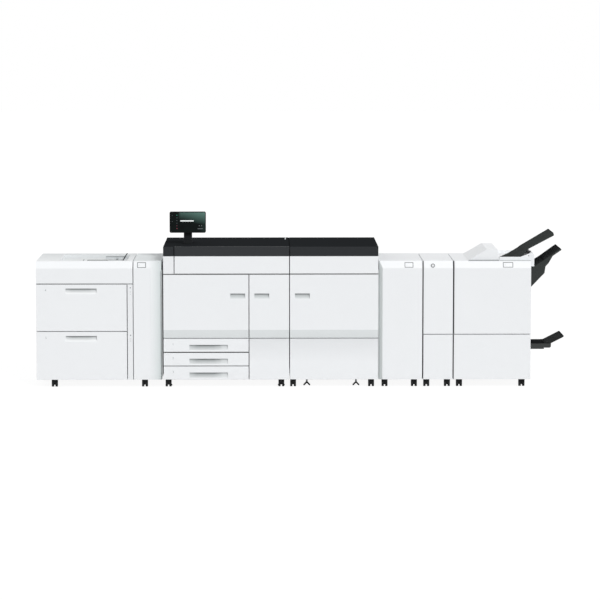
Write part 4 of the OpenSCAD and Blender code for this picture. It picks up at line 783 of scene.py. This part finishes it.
strip_thickness, strip_inset, strip_short, shadow_line_thickness = 2.5 * MM, 4 * MM, 36 * MM, 2.2 * MM
for side in ("front", "rear"):
    low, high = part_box("bypass_guide_" + side)
    strip_low = (low.x + strip_inset, low.y, high.z)
    strip_high = (high.x - strip_short, high.y, high.z + strip_thickness)
    guide_body = body_of_node["bypass_guide_" + side]
    slab(f"guide_dark_strip_{side}", strip_low, strip_high, dark_strip_and_slot_shade, guide_body)
# A dark strip at the right end of the recess paints the shade of the feed slot that opens there.
low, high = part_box("feeder_top_cover")
slot_shade_low = (high.x - 81 * MM, -380 * MM, high.z)
slot_shade_high = (high.x - 73 * MM, high.y - 4 * MM, high.z + 2 * MM)
slab("feed_slot_shade_strip", slot_shade_low, slot_shade_high, dark_strip_and_slot_shade, "frame")
# Grey strips on the top paint the shadow along the front of the bypass plate and at its left edge.
bypass_plate_shadow = moulded("painted_shadow_at_bypass_plate", "#9a9d9e", 0.8, 4, 0.1, 0.05, 0.0)
shadow_lines = (("bypass_plate_front_shadow", -1690, -1523, -389, -330), ("bypass_plate_left_shadow", -1723, -1716, -389, -300))
for name, left_mm, right_mm, front_mm, back_mm in shadow_lines:
    shadow_line_low = (left_mm * MM, front_mm * MM, high.z)
    shadow_line_high = (right_mm * MM, back_mm * MM, high.z + shadow_line_thickness)
    slab(name, shadow_line_low, shadow_line_high, bypass_plate_shadow, "frame")
for node in ("upper_lift_plate", "lower_lift_plate"):
    paint(frame["nodes"][node], steel)
paint(frame["nodes"]["feed_heads"], moulded("dark_feed_head_abs", "#2d3033", 0.5, 5, 0.06))


# The output trays are moulded black ABS. Their sloping faces have low ribs along the way that
# sheets slide, which paper has rubbed a little paler, and which stop short of each face's ends.
tray_rib = moulded("rubbed_rib_of_black_abs", "#454847", 0.45, 6, 0.05, 0.05, 0.0)
rib_count, rib_width, rib_height, rib_proud, rib_short = 6, 5 * MM, 2 * MM, 1.4 * MM, 16 * MM
large_area, least_normal, most_normal = 0.02, 0.7, 0.97


def lay_ribs(tray, node):
    """Ribs on each large sloping face of a tray, joined to one piece that rides with the tray."""
    ribs = []
    sloping = [f for f in tray.data.polygons if least_normal < f.normal.z < most_normal]
    for face in [f for f in sloping if f.area > large_area]:
        points = [tray.data.vertices[i].co for i in face.vertices]
        x_ends, y_ends = [(min(p[axis] for p in points), max(p[axis] for p in points)) for axis in (0, 1)]
        slope = math.atan2(face.normal.x, face.normal.z)
        normal, middle, turn = face.normal.copy(), face.center.copy(), (0, slope, 0)
        length = (x_ends[1] - x_ends[0]) / math.cos(slope) - rib_short
        for k in range(rib_count):
            y = y_ends[0] + (y_ends[1] - y_ends[0]) * (k + 0.5) / rib_count
            place = Vector((middle.x, y, middle.z)) + normal * (rib_proud - rib_height / 2)
            bpy.ops.mesh.primitive_cube_add(size=1, location=place, rotation=turn)
            rib = bpy.context.object
            rib.scale = (length, rib_width, rib_height)
            settle(rib)
            roll_edges(rib, 0.5)
            ribs.append(rib)
    fit(join_all(ribs), node + "_ribs", tray_rib, body_of_node[node])


for node, top, front in (("top_tray", "#3f4241", "#3a3d3c"), ("stacker_tray", "#292a2b", "#3b3e3d"),
                         ("booklet_tray", "#1f2021", "#434544"), ("booklet_flap", "#2f3030", "#2e2f2f"),
                         ("paper_lever", "#202121", "#2a2c2c")):
    tray = soften(node, 1.2)
    paint(tray, moulded("ribbed_black_abs_of_" + node, top, 0.55, 6, 0.1, 0.05, 0.0))
    # The steeper faces of each tray get a tone of their own: painted light and shade on the same black ABS.
    tray.data.materials.append(moulded("painted_light_and_shade_side_of_" + node, front, 0.55, 6, 0.1, 0.05, 0.0))
    for face in tray.data.polygons:
        if face.normal.z < 0.25:
            face.material_index = 1
    if node in ("top_tray", "stacker_tray", "booklet_flap"):
        lay_ribs(tray, node)

# Grey and pale strips paint the shadow at the foot of the hood and of the tray bay towards the front, and a
# black strip paints the shade in the seam between the engine's tops.
# Pale strips fill the docking gaps on either side of the engine, painted light over the gaps' shade, and a pale
# rubber strip fills the step at the rear of the black tops, where the air duct ends.
strip_top = 930 * MM
strip_set_back, strip_gap, strip_end = 21 * MM, 0.4 * MM, 3 * MM
hood_low, hood_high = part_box("finisher_hood")
bay_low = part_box("tray_bay")[0]
finisher_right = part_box("finisher_door")[1].x
slab("hood_foot_shadow_strip", (hood_low.x + strip_end, front_y + strip_set_back, hood_low.z),
     (hood_high.x - 2 * MM, hood_low.y - strip_gap, hood_low.z + 3.5 * MM),
     moulded("painted_shadow_at_hood_foot", "#9da1a3", 0.9, 4, 0.1, 0.03, 0.0), "frame", 0.3)
slab("bay_foot_shadow_strip", (bay_low.x + strip_end, front_y + strip_set_back, hood_low.z),
     (finisher_right - strip_end, bay_low.y - strip_gap, hood_low.z + 2.5 * MM),
     moulded("painted_shadow_at_bay_foot", "#cbcfd0", 0.9, 4, 0.1, 0.03, 0.0), "frame", 0.3)
low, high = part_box("feeder_door")
slab("docking_gap_light_strip", (high.x + 1.6 * MM, front_y + 2 * MM, low.z + strip_end),
     (high.x + 6.0 * MM, front_y + 26 * MM, strip_top),
     moulded("painted_light_in_docking_gap", "#c9cdcd", 0.8, 4, 0.1, 0.03, 0.0), "frame", 0.5)
engine_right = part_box("fusing_door")[1].x
low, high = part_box("decurler_door")
slab("decurler_gap_light_strip", (engine_right + 1.5 * MM, front_y + 6 * MM, low.z + strip_end),
     (low.x - 1.5 * MM, front_y + 30 * MM, strip_top),
     moulded("painted_light_in_decurler_gap", "#dfe3e3", 0.8, 4, 0.1, 0.03, 0.0), "frame", 0.5)
low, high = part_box("imaging_top")
slab("rear_duct_seal", (high.x - 30 * MM, high.y - 210 * MM, high.z + 0.1 * MM),
     (high.x - 22 * MM, high.y - 1 * MM, high.z + 1.6 * MM),
     moulded("pale_rubber_seal", "#d8dcdd", 0.8, 4, 0.1, 0.03, 0.0), "frame", 0.4)
next_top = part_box("fusing_top")[0].x
slab("shade_strip_in_seam_of_tops", (high.x + 0.2 * MM, low.y + strip_end, high.z - 30 * MM),
     (next_top - 0.2 * MM, high.y - 2 * MM, high.z - 1.5 * MM),
     moulded("painted_shade_in_seam_of_tops", "#1b1c1d", 0.9, 4, 0.1, 0.03, 0.0), "frame", 0.2)


# The ring button: a dark ring round a pale cap, in its seat on the bevel of the folder's door.
button_dark = moulded("dark_ring_abs", "#3c4043", 0.35, 4, 0.03)
paint(frame["nodes"]["folder_button"], coated_white)
low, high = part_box("folder_button")
ring_r, ring_inset, ring_thickness = (high.x - low.x) / 2, 2 * MM, 2.3 * MM
ring_place = ((low.x + high.x) / 2, low.y, (low.z + high.z) / 2)
bpy.ops.mesh.primitive_torus_add(major_radius=ring_r - ring_inset, minor_radius=ring_thickness,
                                 major_segments=48, minor_segments=10, location=ring_place,
                                 rotation=(math.pi / 2, 0, 0))
ring = bpy.context.object
settle(ring)
fit(ring, "button_ring", button_dark, "folder_button")


# Casters are black coated steel forks with twin rubber-tyred wheels. The engine stands on levelling
# and jack feet: black moulded pads on zinc-plated posts.
foot_height = 31 * MM
paint(frame["nodes"]["caster_forks"], moulded("black_caster_coat", "#161718", 0.5, 5, 0.05, 0.03, 0.2))
tread = moulded("caster_tread_rubber", "#252627", 0.7, 5, 0.1, 0.08, 0.2)
for node in ("front_wheels", "rear_wheels", "engine_rear_wheels"):
    paint(frame["nodes"][node], tread)
feet_coat = two_tone_and_shade("black_feet_on_zinc_posts", "#2a2b2c", "#b9bcbd", foot_height)
paint(frame["nodes"]["levelling_feet"], feet_coat)


# A plain pale floor and plain soft studio light: one soft sun lamp above the front, and an even white
# surrounding. The camera sees the surrounding as white, and so do gloss and glass.
bpy.ops.mesh.primitive_plane_add(size=120, location=(0, 0, 0))
floor = bpy.context.object
floor.name = "studio_floor"
floor_paint, tree, shader, place = start_material("studio_floor_paint")
tree.nodes.remove(shader)
grey_floor = add(tree, "ShaderNodeBsdfDiffuse", Color=(0.6, 0.6, 0.6, 1))
shadow_floor = add(tree, "ShaderNodeBsdfDiffuse", Color=(0.12, 0.12, 0.12, 1))
lit_floor = add(tree, "ShaderNodeEmission", Color=(1, 1, 1, 1), Strength=0.93)
seen_floor = add(tree, "ShaderNodeAddShader", _0=shadow_floor.outputs["BSDF"],
                 _1=lit_floor.outputs["Emission"])
ray = add(tree, "ShaderNodeLightPath")
floor_mix = add(tree, "ShaderNodeMixShader", Fac=ray.outputs["Is Camera Ray"], _1=grey_floor.outputs["BSDF"],
                _2=seen_floor.outputs["Shader"])
tree.links.new(floor_mix.outputs["Shader"], tree.nodes["Material Output"].inputs["Surface"])
paint(floor, floor_paint)

world = bpy.data.worlds.new("studio")
bpy.context.scene.world = world
world.use_nodes = True
tree = world.node_tree
tree.nodes.clear()
path = add(tree, "ShaderNodeLightPath")
seen = add(tree, "ShaderNodeMath", {"operation": "MAXIMUM"}, _0=path.outputs["Is Camera Ray"],
           _1=path.outputs["Is Glossy Ray"])
through = add(tree, "ShaderNodeMath", {"operation": "MAXIMUM"}, _0=seen.outputs["Value"],
              _1=path.outputs["Is Transmission Ray"])
sky = add(tree, "ShaderNodeBackground", Color=(1, 1, 1, 1), Strength=0.62)
white = add(tree, "ShaderNodeBackground", Color=(1, 1, 1, 1), Strength=1.0)
choice = add(tree, "ShaderNodeMixShader", Fac=through.outputs["Value"],
             _1=sky.outputs["Background"], _2=white.outputs["Background"])
add(tree, "ShaderNodeOutputWorld", Surface=choice.outputs["Shader"])

sun_data = bpy.data.lights.new("studio_sun", "SUN")
sun_data.energy = 1.7
sun_data.angle = math.radians(16)
sun = bpy.data.objects.new("studio_sun", sun_data)
bpy.context.collection.objects.link(sun)
sun_height, sun_aside = math.radians(33), math.radians(28)
sun.rotation_euler = (math.pi / 2 - sun_height, 0, sun_aside)

bpy.context.scene.view_settings.view_transform = "Standard"
